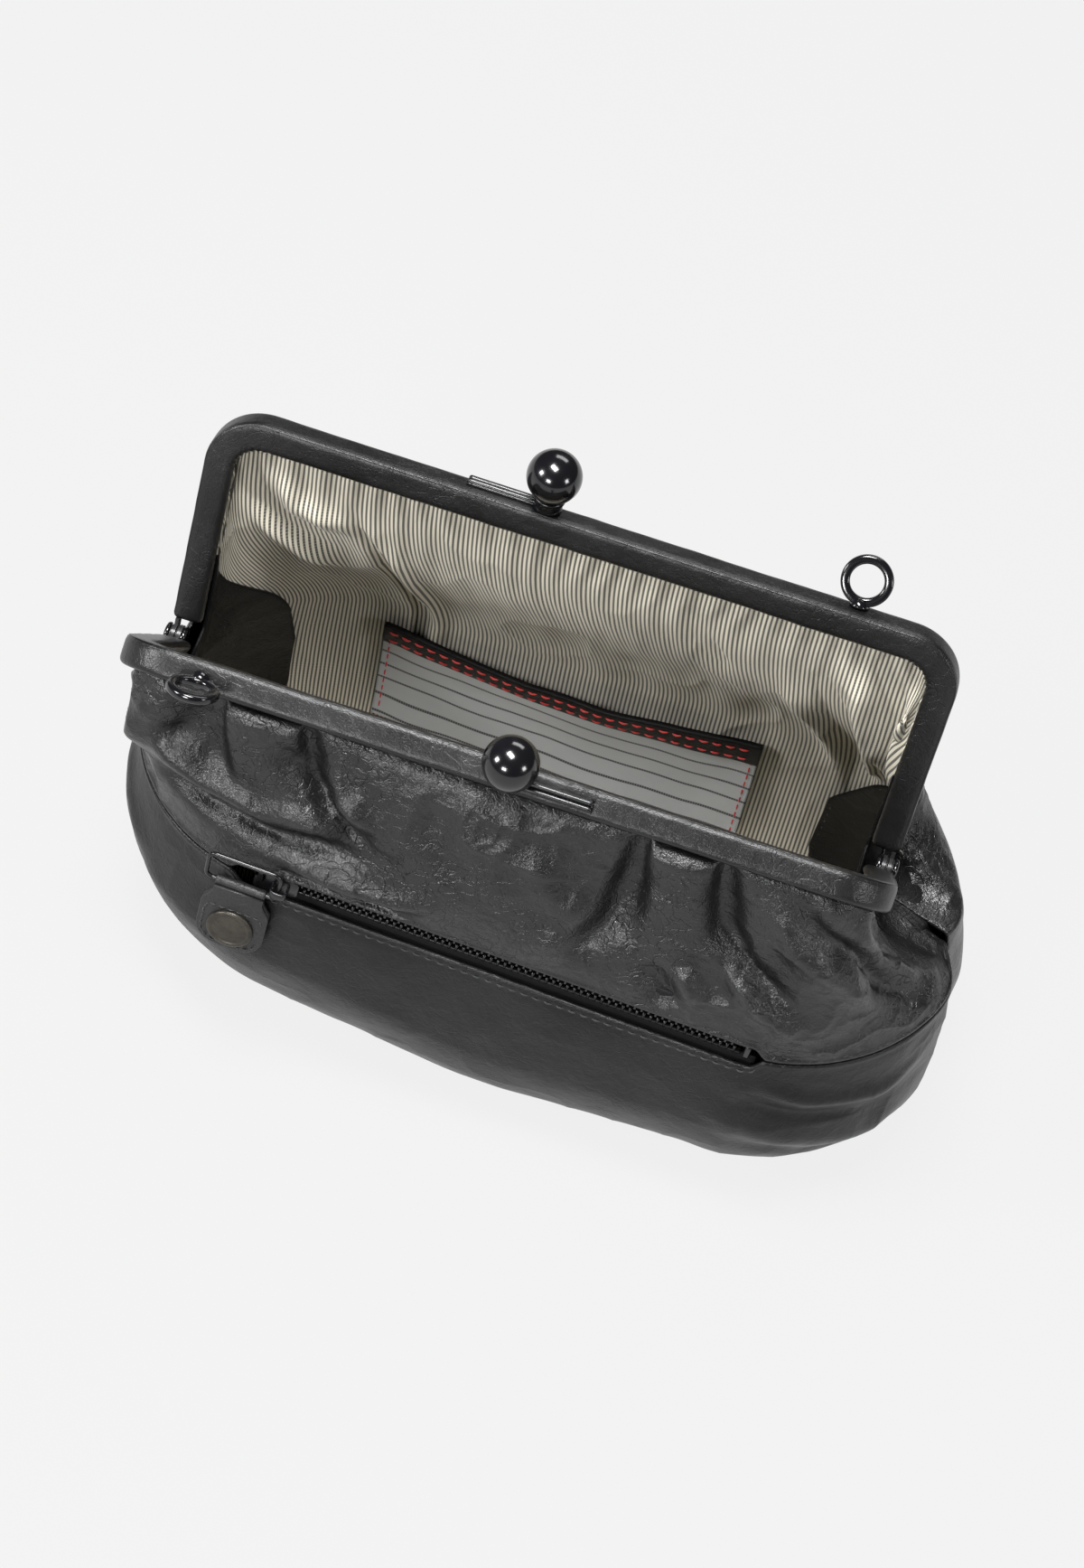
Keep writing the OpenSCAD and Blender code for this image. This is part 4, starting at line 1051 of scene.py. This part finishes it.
def patch(name, left):
    keys = (0.02, 0.2, 0.43, 0.85, 1.2, 1.45, 1.58, 1.68)
    rear = (0.08, 0.09, 0.12, 0.165, 0.186, 0.186, 0.165, 0.12) if left else (0.08, 0.085, 0.105,
        0.19, 0.262, 0.266, 0.255, 0.21)
    front = (0.08, 0.082, 0.09, 0.12, 0.14, 0.15, 0.14, 0.10)

    def spot(side, share, w):
        """Point on the patch: share 0 at the bag's end, 1 at the patch's own edge."""
        s = share * np.interp(w, keys, front if side < 0 else rear)
        s = s if left else 1 - s
        p = lining_skin(side, s, w, end_depth(side, s, DEPTH[side]) + 1.7)
        return p + np.array([1.0 if left else -1.0, 0, 0]) * 0.6 * (1 - share)[..., None]

    A, B = np.meshgrid(np.linspace(-1, 1, 91), np.linspace(0.02, 1.68, 81))
    p = np.where((A < 0)[..., None], spot(-1, np.abs(A), B), spot(1, np.abs(A), B))
    p = p if left else p[:, ::-1]
    n = normals(p)
    p = p + n * (0.35 * noise(p, 11) + 0.2 * wrinkles(p, 9.0, 2.0, 0.03))[..., None]
    ob = cloth_object(name, p, 0.9, LEATHER_PATCH_PAINTED_SHADE, flip=False)
    finished(ob, ("left" if left else "right") + "_hinge_patch", "bag")
    st = Parts()
    rows = np.linspace(0.06, 1.64, 160)
    for side in (-1, 1):
        reach = np.interp(rows, keys, front if side < 0 else rear)
        line = spot(side, 1 - 1.7 / MOUTH_LEN / reach, rows)
        out = np.array([0.25 if left else -0.25, -1.0 * side, 0.25]) * np.ones((len(rows), 1))
        stitches(st, line + unit(out) * 0.35, out, 2.3, 0.9, 0.22, 0.3)
    finished(st.make(name + "_stitches", THREAD_BLACK), None, "bag")


patch("left_patch_leather", True)
patch("right_patch_leather", False)

# Camera, lights and floor

CAMERA_AT, CAMERA_LENS = (0.06117, -0.56698, 0.77633), 79.92
CAMERA_TURN = (5.62, 51.16, 13.77)


def make_camera():
    """Camera from its place and its azimuth, elevation and roll, fitted to the photograph."""
    az, el, roll = map(math.radians, CAMERA_TURN)
    back = Vector((math.sin(az) * math.cos(el), -math.cos(az) * math.cos(el), math.sin(el)))
    hr = Vector((math.cos(az), math.sin(az), 0))
    hu = back.cross(hr)
    right = hr * math.cos(roll) + hu * math.sin(roll)
    up = hu * math.cos(roll) - hr * math.sin(roll)
    data = bpy.data.cameras.new("camera")
    data.sensor_width = 36
    data.sensor_fit = "AUTO"
    data.lens = CAMERA_LENS
    cam = bpy.data.objects.new("camera", data)
    m = Matrix((right, up, back)).transposed().to_4x4()
    m.translation = CAMERA_AT
    cam.matrix_world = m
    bpy.context.scene.collection.objects.link(cam)
    bpy.context.scene.camera = cam


def area_light(name, place, target, size, power):
    data = bpy.data.lights.new(name, "AREA")
    data.shape = "RECTANGLE"
    data.size, data.size_y = size
    data.energy = power
    ob = bpy.data.objects.new(name, data)
    d = Vector(target) - Vector(place)
    ob.rotation_euler = d.to_track_quat("-Z", "Y").to_euler()
    ob.location = place
    bpy.context.scene.collection.objects.link(ob)


make_camera()
area_light("key", (-0.12, -0.16, 1.15), (0.0, 0.0, 0.08), (0.5, 0.28), 22.0)
area_light("front_low", (-0.30, -1.15, 0.60), (0.0, 0.0, 0.08), (0.34, 0.2), 8.5)
area_light("fill_left", (-0.85, -0.45, 0.62), (0, 0, 0.08), (0.26, 0.26), 8.5)
area_light("fill_right", (0.95, -0.40, 0.52), (0, 0, 0.08), (0.24, 0.24), 3.0)
area_light("back", (0.1, 0.8, 0.9), (0, 0, 0.1), (0.7, 0.3), 4.0)

world = bpy.data.worlds.new("studio")
world.use_nodes = True
world.node_tree.nodes["Background"].inputs[0].default_value = (0.9, 0.91, 0.93, 1)
world.node_tree.nodes["Background"].inputs[1].default_value = 0.05
bpy.context.scene.world = world
bpy.context.scene.view_settings.view_transform = "Standard"

floor_mat = Nodes("floor_pale")
path = floor_mat.add("ShaderNodeLightPath")
soft = floor_mat.noise(floor_mat.object_coords(), 3.0, 2.0)
floor_mat.set(Base_Color=floor_mat.mix(soft, (0.22, 0.22, 0.22), (0.24, 0.24, 0.24)), Roughness=0.9)
glow = floor_mat.add("ShaderNodeEmission", Color=(0.93, 0.93, 0.93, 1), Strength=1.0)
both = floor_mat.add("ShaderNodeMixShader")
seen = floor_mat.math("MAXIMUM", path.outputs["Is Camera Ray"], path.outputs["Is Glossy Ray"])
seen = floor_mat.math("MAXIMUM", seen, path.outputs["Is Transmission Ray"])
floor_mat.link(floor_mat.math("MULTIPLY", seen, 0.9), both.inputs[0])
floor_mat.link(floor_mat.bsdf.outputs[0], both.inputs[1])
floor_mat.link(glow.outputs[0], both.inputs[2])
floor_mat.link(both.outputs[0], floor_mat.tree.nodes["Material Output"].inputs[0])
floor = mesh_object("floor", [[-4000, -4000, 0], [4000, -4000, 0], [4000, 4000, 0],
    [-4000, 4000, 0]],
                    [[0, 1, 2, 3]], floor_mat.mat)

# Frame halves: leather covers, paper cords, and what is fixed to the bars

SECTION_Y = -MATE - THICK / 2


def frame_path(inset, leg_start=5.0, step=1.0):
    """Centre line of the U from one leg to the other: x, height and the outward direction."""
    total = u_lengths(inset, leg_start)[3]
    d = np.linspace(0, total, int(total / step) + 1)
    x, h, a = u_point(np.minimum(d, total - d), inset, leg_start)
    way = np.where(d < total / 2, -1.0, 1.0)
    return d, way * x, h, way * np.cos(a), np.sin(a)


def along_frame(side, section, inset=FACE / 2, leg_start=5.0, step=1.0):
    """Points of a section along the U; section may be a function of the running length."""
    d, x, h, nx, nh = frame_path(inset, leg_start, step)
    sec = section(d) if callable(section) else np.broadcast_to(section,
        (len(d),) + np.shape(section))
    a, b = sec[..., 0], sec[..., 1]
    return leaned(side, x[:, None] + a * nx[:, None], b, h[:, None] + a * nh[:, None]), d


def turn(side, v):
    """Direction given as x, y, height on a frame half, in the ground's frame."""
    a = LEAN[side]
    x, y, h = v
    return np.array([x, -side * (y * math.cos(a) - h * math.sin(a)),
        h * math.cos(a) + y * math.sin(a)])


def frame_cover(side, name):
    n = 72
    th = circle(n) + 0.01
    c, s = np.cos(th), np.sin(th)
    a, b = squared(FACE / 2, c, 5.0), squared(THICK / 2, s, 5.0)

    def section(d):
        # A double ridge runs along the outer edge of the mating face; the slot edge is drawn in
        corner = math.atan2(1.0, 1.0)
        ridge = (0.22 * np.exp(-((th - corner - 0.10) / 0.05) ** 2)
            + 0.22 * np.exp(-((th - corner + 0.12) / 0.05) ** 2))
        ridge = ridge - 0.22 * np.exp(-((th - corner) / 0.045) ** 2)
        slot = -0.9 * np.exp(-((th - math.pi) / 0.16) ** 2)
        p = np.stack(np.broadcast_arrays(a[None], b[None] + SECTION_Y, d[:, None]), -1)
        grain = 0.10 * noise(p, 16, 1.0 + side) + 0.05 * noise(p, 4.5, 5.0)
        turns = smooth((np.abs(np.abs(d - d[-1] / 2) - 92) - 4) / -10 + 1)[:, None]
        inner = np.clip(-c, 0, 1)[None]
        tucks = 0.22 * turns * inner * np.cos(d / 2.4 * 2 * math.pi)[:, None]
        r = 1 + (ridge + slot)[None] / 4 + (grain + tucks) / 4
        end = np.minimum(d, d[-1] - d)
        r = r * (1 - 0.18 * np.clip(1 - end / 1.5, 0, 1) ** 2)[:, None]
        return np.stack([a * r, (b * r) + SECTION_Y], -1)

    p, d = along_frame(side, section, step=0.8)
    parts = Parts()
    uv = np.stack(np.broadcast_arrays(d[:, None], th[None] * 4), -1)
    parts.add(p, tube_faces(p.shape[0], n), uv)
    ob = parts.make(name, LEATHER_FRAME)
    body = SIDES[side] + "_frame"
    finished(ob, body + "_cover", body)


def frame_cord(side, name):
    """Twisted paper cord in the channel."""
    n = 20
    th = circle(n)

    def section(d):
        t = th[None] + d[:, None] * 2 * math.pi / 6
        r = 1.0 * (1 + 0.07 * np.cos(3 * t))
        return np.stack([0.8 + r * np.cos(th), SECTION_Y + r * np.sin(th)], -1)

    p, d = along_frame(side, section, leg_start=13.5, step=0.6)
    parts = Parts()
    parts.add(p, tube_faces(p.shape[0], n))
    ob = parts.make(name, CORD_PAPER)
    body = SIDES[side] + "_frame"
    finished(ob, body + "_cord", body)


def clasp(side):
    word = SIDES[side]
    x = 2.3 if side < 0 else -12.0
    way = 1 if side < 0 else -1
    root = leaned(side, x, SECTION_Y, FRAME_H + 0.05)
    tilt = math.radians(18)
    axis = turn(side, (0, math.sin(tilt), math.cos(tilt)))
    m = place_at(root, axis)
    ball = Parts()
    th = np.linspace(-math.pi / 2, math.pi / 2, 97)
    ball.turned(np.stack([np.maximum(7.0 * np.cos(th), 0.001), 12 + 7.0 * np.sin(th)], -1), m, 128)
    ball.turned([(0.001, 2.1), (1.45, 2.1), (1.45, 6.0), (0.001, 6.0)], m, 32)
    body = word + "_frame"
    finished(ball.make(word + "_ball_gloss", METAL), word + "_clasp_ball", body)
    plate = Parts()
    plate.turned([(1.7, 2.0), (3.0, 1.2), (3.3, 1.4), (3.3, 2.6), (3.25, 3.4), (3.6, 3.75),
        (4.0, 3.95), (4.1, 4.3), (4.1, 4.9),
                  (4.0, 5.3), (3.7, 5.45), (3.45, 5.3), (2.6, 4.9), (1.7, 4.9), (1.7, 2.0)], m, 72)
    plate.turned([(0.001, 0.0), (3.5, 0.0), (3.7, 0.3), (3.6, 1.2), (3.0, 1.7), (0.001, 1.9)],
                 place_at(root, turn(side, (0, 0, 1))), 64)
    length = 21.1
    y0 = -4.65
    for dy in (-0.75, 0.75):
        t = np.concatenate([[2.4], np.linspace(3.0, length - 0.5, 30), [length - 0.15, length]])
        path = np.stack([leaned(side, x + way * k, y0 + dy, FRAME_H + 0.95) for k in t])
        scale = np.ones(len(t))
        scale[-2:] = 0.8, 0.35
        plate.tube(path, ring(20, 0.75, 0.75), turn(side, (0, 0, 1)), scale=scale)
    base = np.array([[-1.5, 0.05], [1.5, 0.05], [1.6, 0.2], [1.6, 0.65], [1.3, 0.85], [-1.3, 0.85],
        [-1.6, 0.65], [-1.6, 0.2]])
    t = np.linspace(2.0, length, 12)
    path = np.stack([leaned(side, x + way * k, y0, FRAME_H) for k in t])
    up = turn(side, (0, 0, 1))
    plate.tube(path, base, up)
    pl = plate.make(word + "_clasp_strip", METAL_SATIN)
    finished(auto_smooth(pl, 50), word + "_clasp_plate", body)


def strap_ring(side):
    word = SIDES[side]
    x = -76.0 if side < 0 else 69.0
    tilt = math.radians(20)
    root = leaned(side, x, SECTION_Y - 1.0, FRAME_H + 0.05)
    up = turn(side, (0, -math.sin(tilt), math.cos(tilt)))
    out = turn(side, (0, -math.cos(tilt), -math.sin(tilt)))
    centre = root + up * 6.9
    th = circle(96)
    path = centre + 5.45 * (np.cos(th)[:, None] * np.array([1.0, 0, 0]) + np.sin(th)[:, None] * up)
    parts = Parts()
    parts.tube(path, ring(24, 1.2, 1.12, 3.0), out, closed=True)
    foot = [(0.001, 0.02), (2.4, 0.02), (2.45, 0.4), (2.0, 1.2), (1.5, 2.2), (0.001, 2.3)]
    parts.turned(foot, place_at(root, up), 40)
    ob = parts.make(word + "_ring_gloss", METAL)
    finished(ob, word + "_strap_ring", word + "_frame")


def hinge(left):
    """Rivet with domed heads and two thin washers."""
    word, way = ("left", -1) if left else ("right", 1)
    place = place_at(HINGE, (way, 0, 0), (0, 1, 0))
    rivet = Parts()
    rivet.turned([(0.001, 93.85), (2.3, 93.85), (2.9, 94.05), (3.1, 94.5), (3.1, 95.15),
        (2.9, 95.25), (1.2, 95.25), (1.2, 98.6),
                  (2.9, 98.6), (3.1, 98.75), (3.1, 99.25), (2.85, 99.6), (2.2, 99.85), (1.2, 99.95),
                  (0.001, 99.95)],
                 place, 64)
    ob = rivet.make(word + "_rivet_gloss", METAL)
    finished(auto_smooth(ob), word + "_hinge_rivet", "bag")
    wash = Parts()
    for x in (96.45, 98.05):
        wash.turned([(1.32, x), (2.6, x), (2.7, x + 0.1), (2.7, x + 0.3), (2.6, x + 0.4),
            (1.32, x + 0.4), (1.32, x)], place, 48)
    wa = wash.make(word + "_washers_steel", STEEL)
    finished(auto_smooth(wa), word + "_hinge_washers", "bag")


frame_cover(-1, "front_bar_leather")
frame_cover(1, "rear_bar_leather")
frame_cord(-1, "front_cord_twisted")
frame_cord(1, "rear_cord_twisted")
for way in (-1, 1):
    clasp(way)
    strap_ring(way)
for left in (True, False):
    hinge(left)

# Zip

TAPE_Y = SEAM_Y + 2.55
PITCH = 1.85


def tape(up, name):
    way = 1 if up else -1
    t = np.linspace(ZIP_X0 - 10, ZIP_X0 + ZIP_LEN + 4, 140)
    v = np.linspace(2.0, 11.4, 24)
    X, Vv = np.meshgrid(t, v)
    ripple = 0.08 * noise(np.stack([X, Vv, 0 * X], -1), 7) * smooth((Vv - 3) / 3)
    p = on_zip(X, TAPE_Y - 0.25 + ripple, way * Vv)
    ob = cloth_object(name, p, 0.5, TAPE, np.stack([X, Vv], -1), flip=not up)
    finished(ob, "zip_tape_" + ("upper" if up else "lower"), "bag")


def teeth(up, name):
    """A row of moulded teeth, each with a waist and a rounded head that reaches the middle."""
    way = 1 if up else -1
    parts = Parts()
    for k in range(int(ZIP_LEN / PITCH)):
        x = ZIP_X0 + (k + (0.25 if up else 0.75)) * PITCH
        zs = np.array([2.5, 2.3, 1.7, 1.1, 0.75, 0.4, 0.12, 0.04])
        wide = np.array([0.30, 0.42, 0.42, 0.34, 0.44, 0.46, 0.38, 0.18])
        deep = np.array([0.5, 0.85, 0.9, 0.85, 0.9, 0.88, 0.72, 0.4])
        path = on_zip(x, TAPE_Y, way * zs)
        sec = ring(14, 1.0, 1.0, 3.2)
        full = sec[None] * np.stack([wide, deep], -1)[:, None]
        t, b, n = frames_along(path, (0, -1, 0))
        p = path[:, None] + b[:, None] * full[..., :1] + n[:, None] * full[..., 1:]
        parts.add(p, tube_faces(len(zs), 14))
    spine = np.stack([on_zip(x, TAPE_Y, way * 2.15)
        for x in np.linspace(ZIP_X0, ZIP_X0 + ZIP_LEN, 60)])
    parts.tube(spine, ring(12, 0.42, 0.6), (0, -1, 0))
    ob = parts.make(name, ZIP_METAL)
    finished(ob, "zip_teeth_" + ("upper" if up else "lower"), "bag")


def soft_box(parts, centre, size, place, power=6.0, rows=9, n=28):
    """Rounded block: stacked rounded sections along local z."""
    z = np.linspace(-1, 1, rows)
    shrink = (1 - np.abs(z) ** power) ** (1 / power)
    shrink[0] = shrink[-1] = 0.55
    sec = ring(n, size[0] / 2, size[1] / 2, 5.0)
    pts = []
    for k in range(rows):
        q = np.concatenate([sec * (0.9 + 0.1 * shrink[k] if 0 < k < rows - 1 else 0.86),
            np.full((n, 1), z[k] * size[2] / 2)], 1)
        pts.append(q + np.asarray(centre, float))
    p = put(np.stack(pts).reshape(-1, 3), place)
    parts.add(p, [f[::-1] for f in tube_faces(rows, n)])


def zip_place(x, y, z):
    """4x4 with x along the zip, y out of the bag's front reversed, z up the zip."""
    m = np.eye(4)
    o = on_zip(x, y, z)
    m[:3, 0] = on_zip(x + 1, y, z) - o
    m[:3, 1] = (0, 1, 0)
    m[:3, 2] = on_zip(x, y, z + 1) - o
    m[:3, 3] = o
    return m


def stop(x, node, name):
    parts = Parts()
    soft_box(parts, (0.8, 0, 0), (1.6, 3.2, 5.0), zip_place(x, TAPE_Y, 0))
    ob = parts.make(name, ZIP_METAL)
    finished(auto_smooth(ob, 50), node, "bag")


def rounded_outline(w, h, r, n=8):
    pts = []
    for cx, cy, a0 in ((1, 1, 0), (-1, 1, 90), (-1, -1, 180), (1, -1, 270)):
        for k in range(n + 1):
            a = math.radians(a0 + 90 * k / n)
            pts.append((cx * (w / 2 - r) + r * math.cos(a), cy * (h / 2 - r) + r * math.sin(a)))
    return np.array(pts)


def slab(parts, outline2, y0, y1, place, bevel=0.15):
    """Plate between y0 and y1 with bevelled edges, from an outline in local x and z."""
    n = len(outline2)
    c = outline2.mean(axis=0)
    rows = []
    for y, k in ((y0, bevel), (y0 + bevel * 0.3, bevel * 0.35), (y0 + bevel, 0), (y1 - bevel, 0),
            (y1 - bevel * 0.3, bevel * 0.35),
                 (y1, bevel)):
        d = outline2 - c
        size = np.linalg.norm(d, axis=1, keepdims=True)
        q = c + d * (1 - k / size)
        rows.append(np.stack([q[:, 0], np.full(n, y), q[:, 1]], -1))
    p = put(np.concatenate(rows), place)
    parts.add(p, tube_faces(len(rows), n))


SLIDER_X, LOOP_Y = ZIP_X0 - 2.6, SEAM_Y - 1.75


def slider():
    parts = Parts()
    place = zip_place(SLIDER_X, 0, 0)
    shape = rounded_outline(9.0, 6.8, 1.6)
    shape[:, 1] *= 1 - 0.10 * smooth((shape[:, 0] + 1) / 5)
    out, inn = TAPE_Y - 1.2, TAPE_Y + 1.2
    slab(parts, shape, out - 0.9, out, place, 0.25)
    slab(parts, shape, inn, inn + 0.9, place, 0.2)
    for z in (-3.1, 3.1):
        lip = rounded_outline(6.0, 0.6, 0.2, 3) + np.array([0, z])
        slab(parts, lip, out - 0.1, TAPE_Y - 0.55, place, 0.05)
    crown = LOOP_Y - 0.6 - 0.1
    arch = [(-1.9, out - 0.5), (-1.95, crown + 0.5), (-1.75, crown - 0.1), (-1.1, crown - 0.42),
        (0, crown - 0.5),
            (1.1, crown - 0.42), (1.75, crown - 0.1), (1.95, crown + 0.5), (1.9, out - 0.5)]
    t = np.linspace(0, 8, 41)
    ax = np.interp(t, range(9), [a[0] for a in arch])
    ay = np.interp(t, range(9), [a[1] for a in arch])
    path = put(np.stack([ax, ay, 0 * ax], -1), place)
    parts.tube(path, ring(16, 1.1, 0.38, 4.0), place[:3, 1] * -1.0)
    ob = parts.make("slider_body", METAL_SATIN)
    finished(auto_smooth(ob, 45), "zip_slider", "slider")


def pull_loop():
    w, h, r = 19.0, 9.6, 2.0
    pts = rounded_outline(w, h, r, 10) + np.array([-w / 2, h / 2])
    dense_pts = []
    for k in range(len(pts)):
        a, b = pts[k], pts[(k + 1) % len(pts)]
        steps = max(int(np.linalg.norm(b - a) / 0.6), 1)
        dense_pts += [a + (b - a) * i / steps for i in range(steps)]
    q = np.array(dense_pts)
    place = zip_place(SLIDER_X, LOOP_Y, -3.0)
    path = put(np.stack([q[:, 0], 0 * q[:, 0], q[:, 1]], -1), place)
    parts = Parts()
    parts.tube(path, ring(18, 0.6), (0, 1, 0), closed=True)
    ob = parts.make("pull_loop_wire", METAL_SATIN)
    finished(ob, "zip_pull_loop", "pull_loop")


def tab_place():
    place = zip_place(SLIDER_X - 9.5, LOOP_Y, -3.0)
    a = math.radians(-6)
    rot = np.eye(4)
    rot[1:3, 1:3] = [[math.cos(a), -math.sin(a)], [math.sin(a), math.cos(a)]]
    return place @ rot


def pull_tab():
    place = tab_place()
    neck, wide, low = 6.6, 9.0, -22.0
    half = [(neck, -0.9), (neck, -2.6), (neck + 0.5, -4.0), (wide - 0.9, -5.4), (wide - 0.2, -6.3),
        (wide, -7.6), (wide, -10),
            (wide, -15), (wide - 0.2, -17.2), (wide - 1.2, -19.4), (wide - 3.0, -21.1),
            (wide - 5.2, -21.85), (wide - 7.4, low)]
    right = np.array(half)
    left = right[::-1] * [-1, 1]
    shape = np.concatenate([left, right])
    parts = Parts()
    mid = -0.6
    for y0, y1, k in ((mid - 1.2, mid - 0.08, 1.0), (mid + 0.02, mid + 1.2, 0.985)):
        slab(parts, shape * [k, 1], y0, y1, place, 0.3)
    th = circle(32)
    ringsec = np.stack([np.cos(th), np.sin(th)], -1)
    rows = []
    for x in np.concatenate([[-neck], np.linspace(-6.3, 6.3, 25), [neck]]):
        r = 1.2 if abs(x) == neck else 1.3 + 0.03 * math.cos(x * 2.2)
        rows.append(np.stack([np.full(32, x), r * ringsec[:, 0], r * ringsec[:, 1]], -1))
    # Two shells so that the wire lies in a real bore
    bore = [np.stack([np.full(32, x), 0.72 * ringsec[:, 0], 0.72 * ringsec[:, 1]], -1)
        for x in (neck, -neck)]
    p = put(np.stack(rows + bore).reshape(-1, 3), place)
    parts.add(p, [f[::-1] for f in tube_faces(len(rows) + 2, 32, closed=True)])
    ob = parts.make("pull_tab_leather", LEATHER_TAB)
    finished(auto_smooth(ob, 45), "zip_pull_tab", "pull_tab")
    seam = rounded_outline(15.4, 14.0, 4.0, 8) + np.array([0, -13.4])
    seam = seam[seam[:, 1] < -7.5]
    seam = seam[np.argsort(np.arctan2(seam[:, 1] + 13.4, seam[:, 0]) % (2 * math.pi))]
    path = put(np.stack([seam[:, 0], np.full(len(seam), mid - 1.2), seam[:, 1]], -1), place)
    fine = resampled(np.linspace(0, len(path) - 1, 160), range(len(path)), path)
    st = Parts()
    stitches(st, fine, -place[:3, 1], 1.7, 0.6, 0.17, 0.2)
    finished(st.make("pull_tab_stitches", THREAD_BLACK), None, "pull_tab")
    back = 0.6
    m = place_at(place[:3, :3] @ np.array([0, 0, -14.0]) + place[:3, 3], -place[:3, 1],
        place[:3, 0])
    stud = Parts()
    # Heights run out of the tab: the plate's rim is raised and its middle slightly domed
    stud.turned([(0.001, -back), (3.0, -back), (3.0, -back + 0.5), (1.4, -back + 0.5), (1.4, 1.85),
        (6.0, 1.85), (6.2, 2.0), (6.2, 2.5),
                 (6.05, 2.75), (5.7, 2.95), (5.3, 3.0), (5.0, 2.92), (4.75, 2.7), (4.5, 2.62),
                 (4.2, 2.68), (3.0, 2.82), (1.5, 2.9),
                 (0.001, 2.92)], m, 96)
    sd = stud.make("pull_stud_bronze", BRONZE)
    finished(auto_smooth(sd, 35), "pull_stud", "pull_tab")


def pocket_bag():
    """The cloth bag behind the zip, hanging between the leather and the lining."""
    x = np.linspace(ZIP_X0 - 4, ZIP_X0 + ZIP_LEN - 1, 90)
    loop = [(9.0, 0.4), (9.0, 2.6), (4.0, 3.2), (-12.0, 3.4), (-30.0, 3.5), (-43.0, 3.2),
        (-43.6, 1.8), (-43.0, 0.4), (-30.0, 0.1),
            (-13.0, 0.1)]
    t = np.linspace(0, len(loop) - 1, 70)
    z = np.interp(t, range(len(loop)), [a[0] for a in loop])
    y = np.interp(t, range(len(loop)), [a[1] for a in loop]) + TAPE_Y
    X, Z = np.meshgrid(x, z)
    Y = np.broadcast_to(y[:, None], X.shape) + 0.0
    q = np.stack([X, Y, Z], -1)
    Y = Y + 0.12 * noise(q, 9)
    p = on_zip(X, Y, Z)
    ob = cloth_object("zip_bag_cloth", p, 0.25, TAPE,
        np.stack([X, np.broadcast_to(t[:, None] * 1.8, X.shape)], -1))
    finished(ob, "zip_pocket_bag", "bag")


tape(True, "tape_upper_woven")
tape(False, "tape_lower_woven")
teeth(True, "teeth_upper_row")
teeth(False, "teeth_lower_row")
stop(SLIDER_X - 4.5 - 0.5 - 1.6, "zip_top_stop", "top_stop_metal")
stop(ZIP_X0 + ZIP_LEN + 0.5, "zip_end_stop", "end_stop_metal")
slider()
pull_loop()
pull_tab()
pocket_bag()

for word in ("front_frame_channel", "rear_frame_channel"):
    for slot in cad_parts[word].material_slots:
        slot.material = STEEL

# The pieces sewn to a frame half have their placement baked into their meshes
for ob, side in ((upper_front, -1), (front_lining, -1), (rear_upper, 1), (rear_lining, 1)):
    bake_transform(ob)
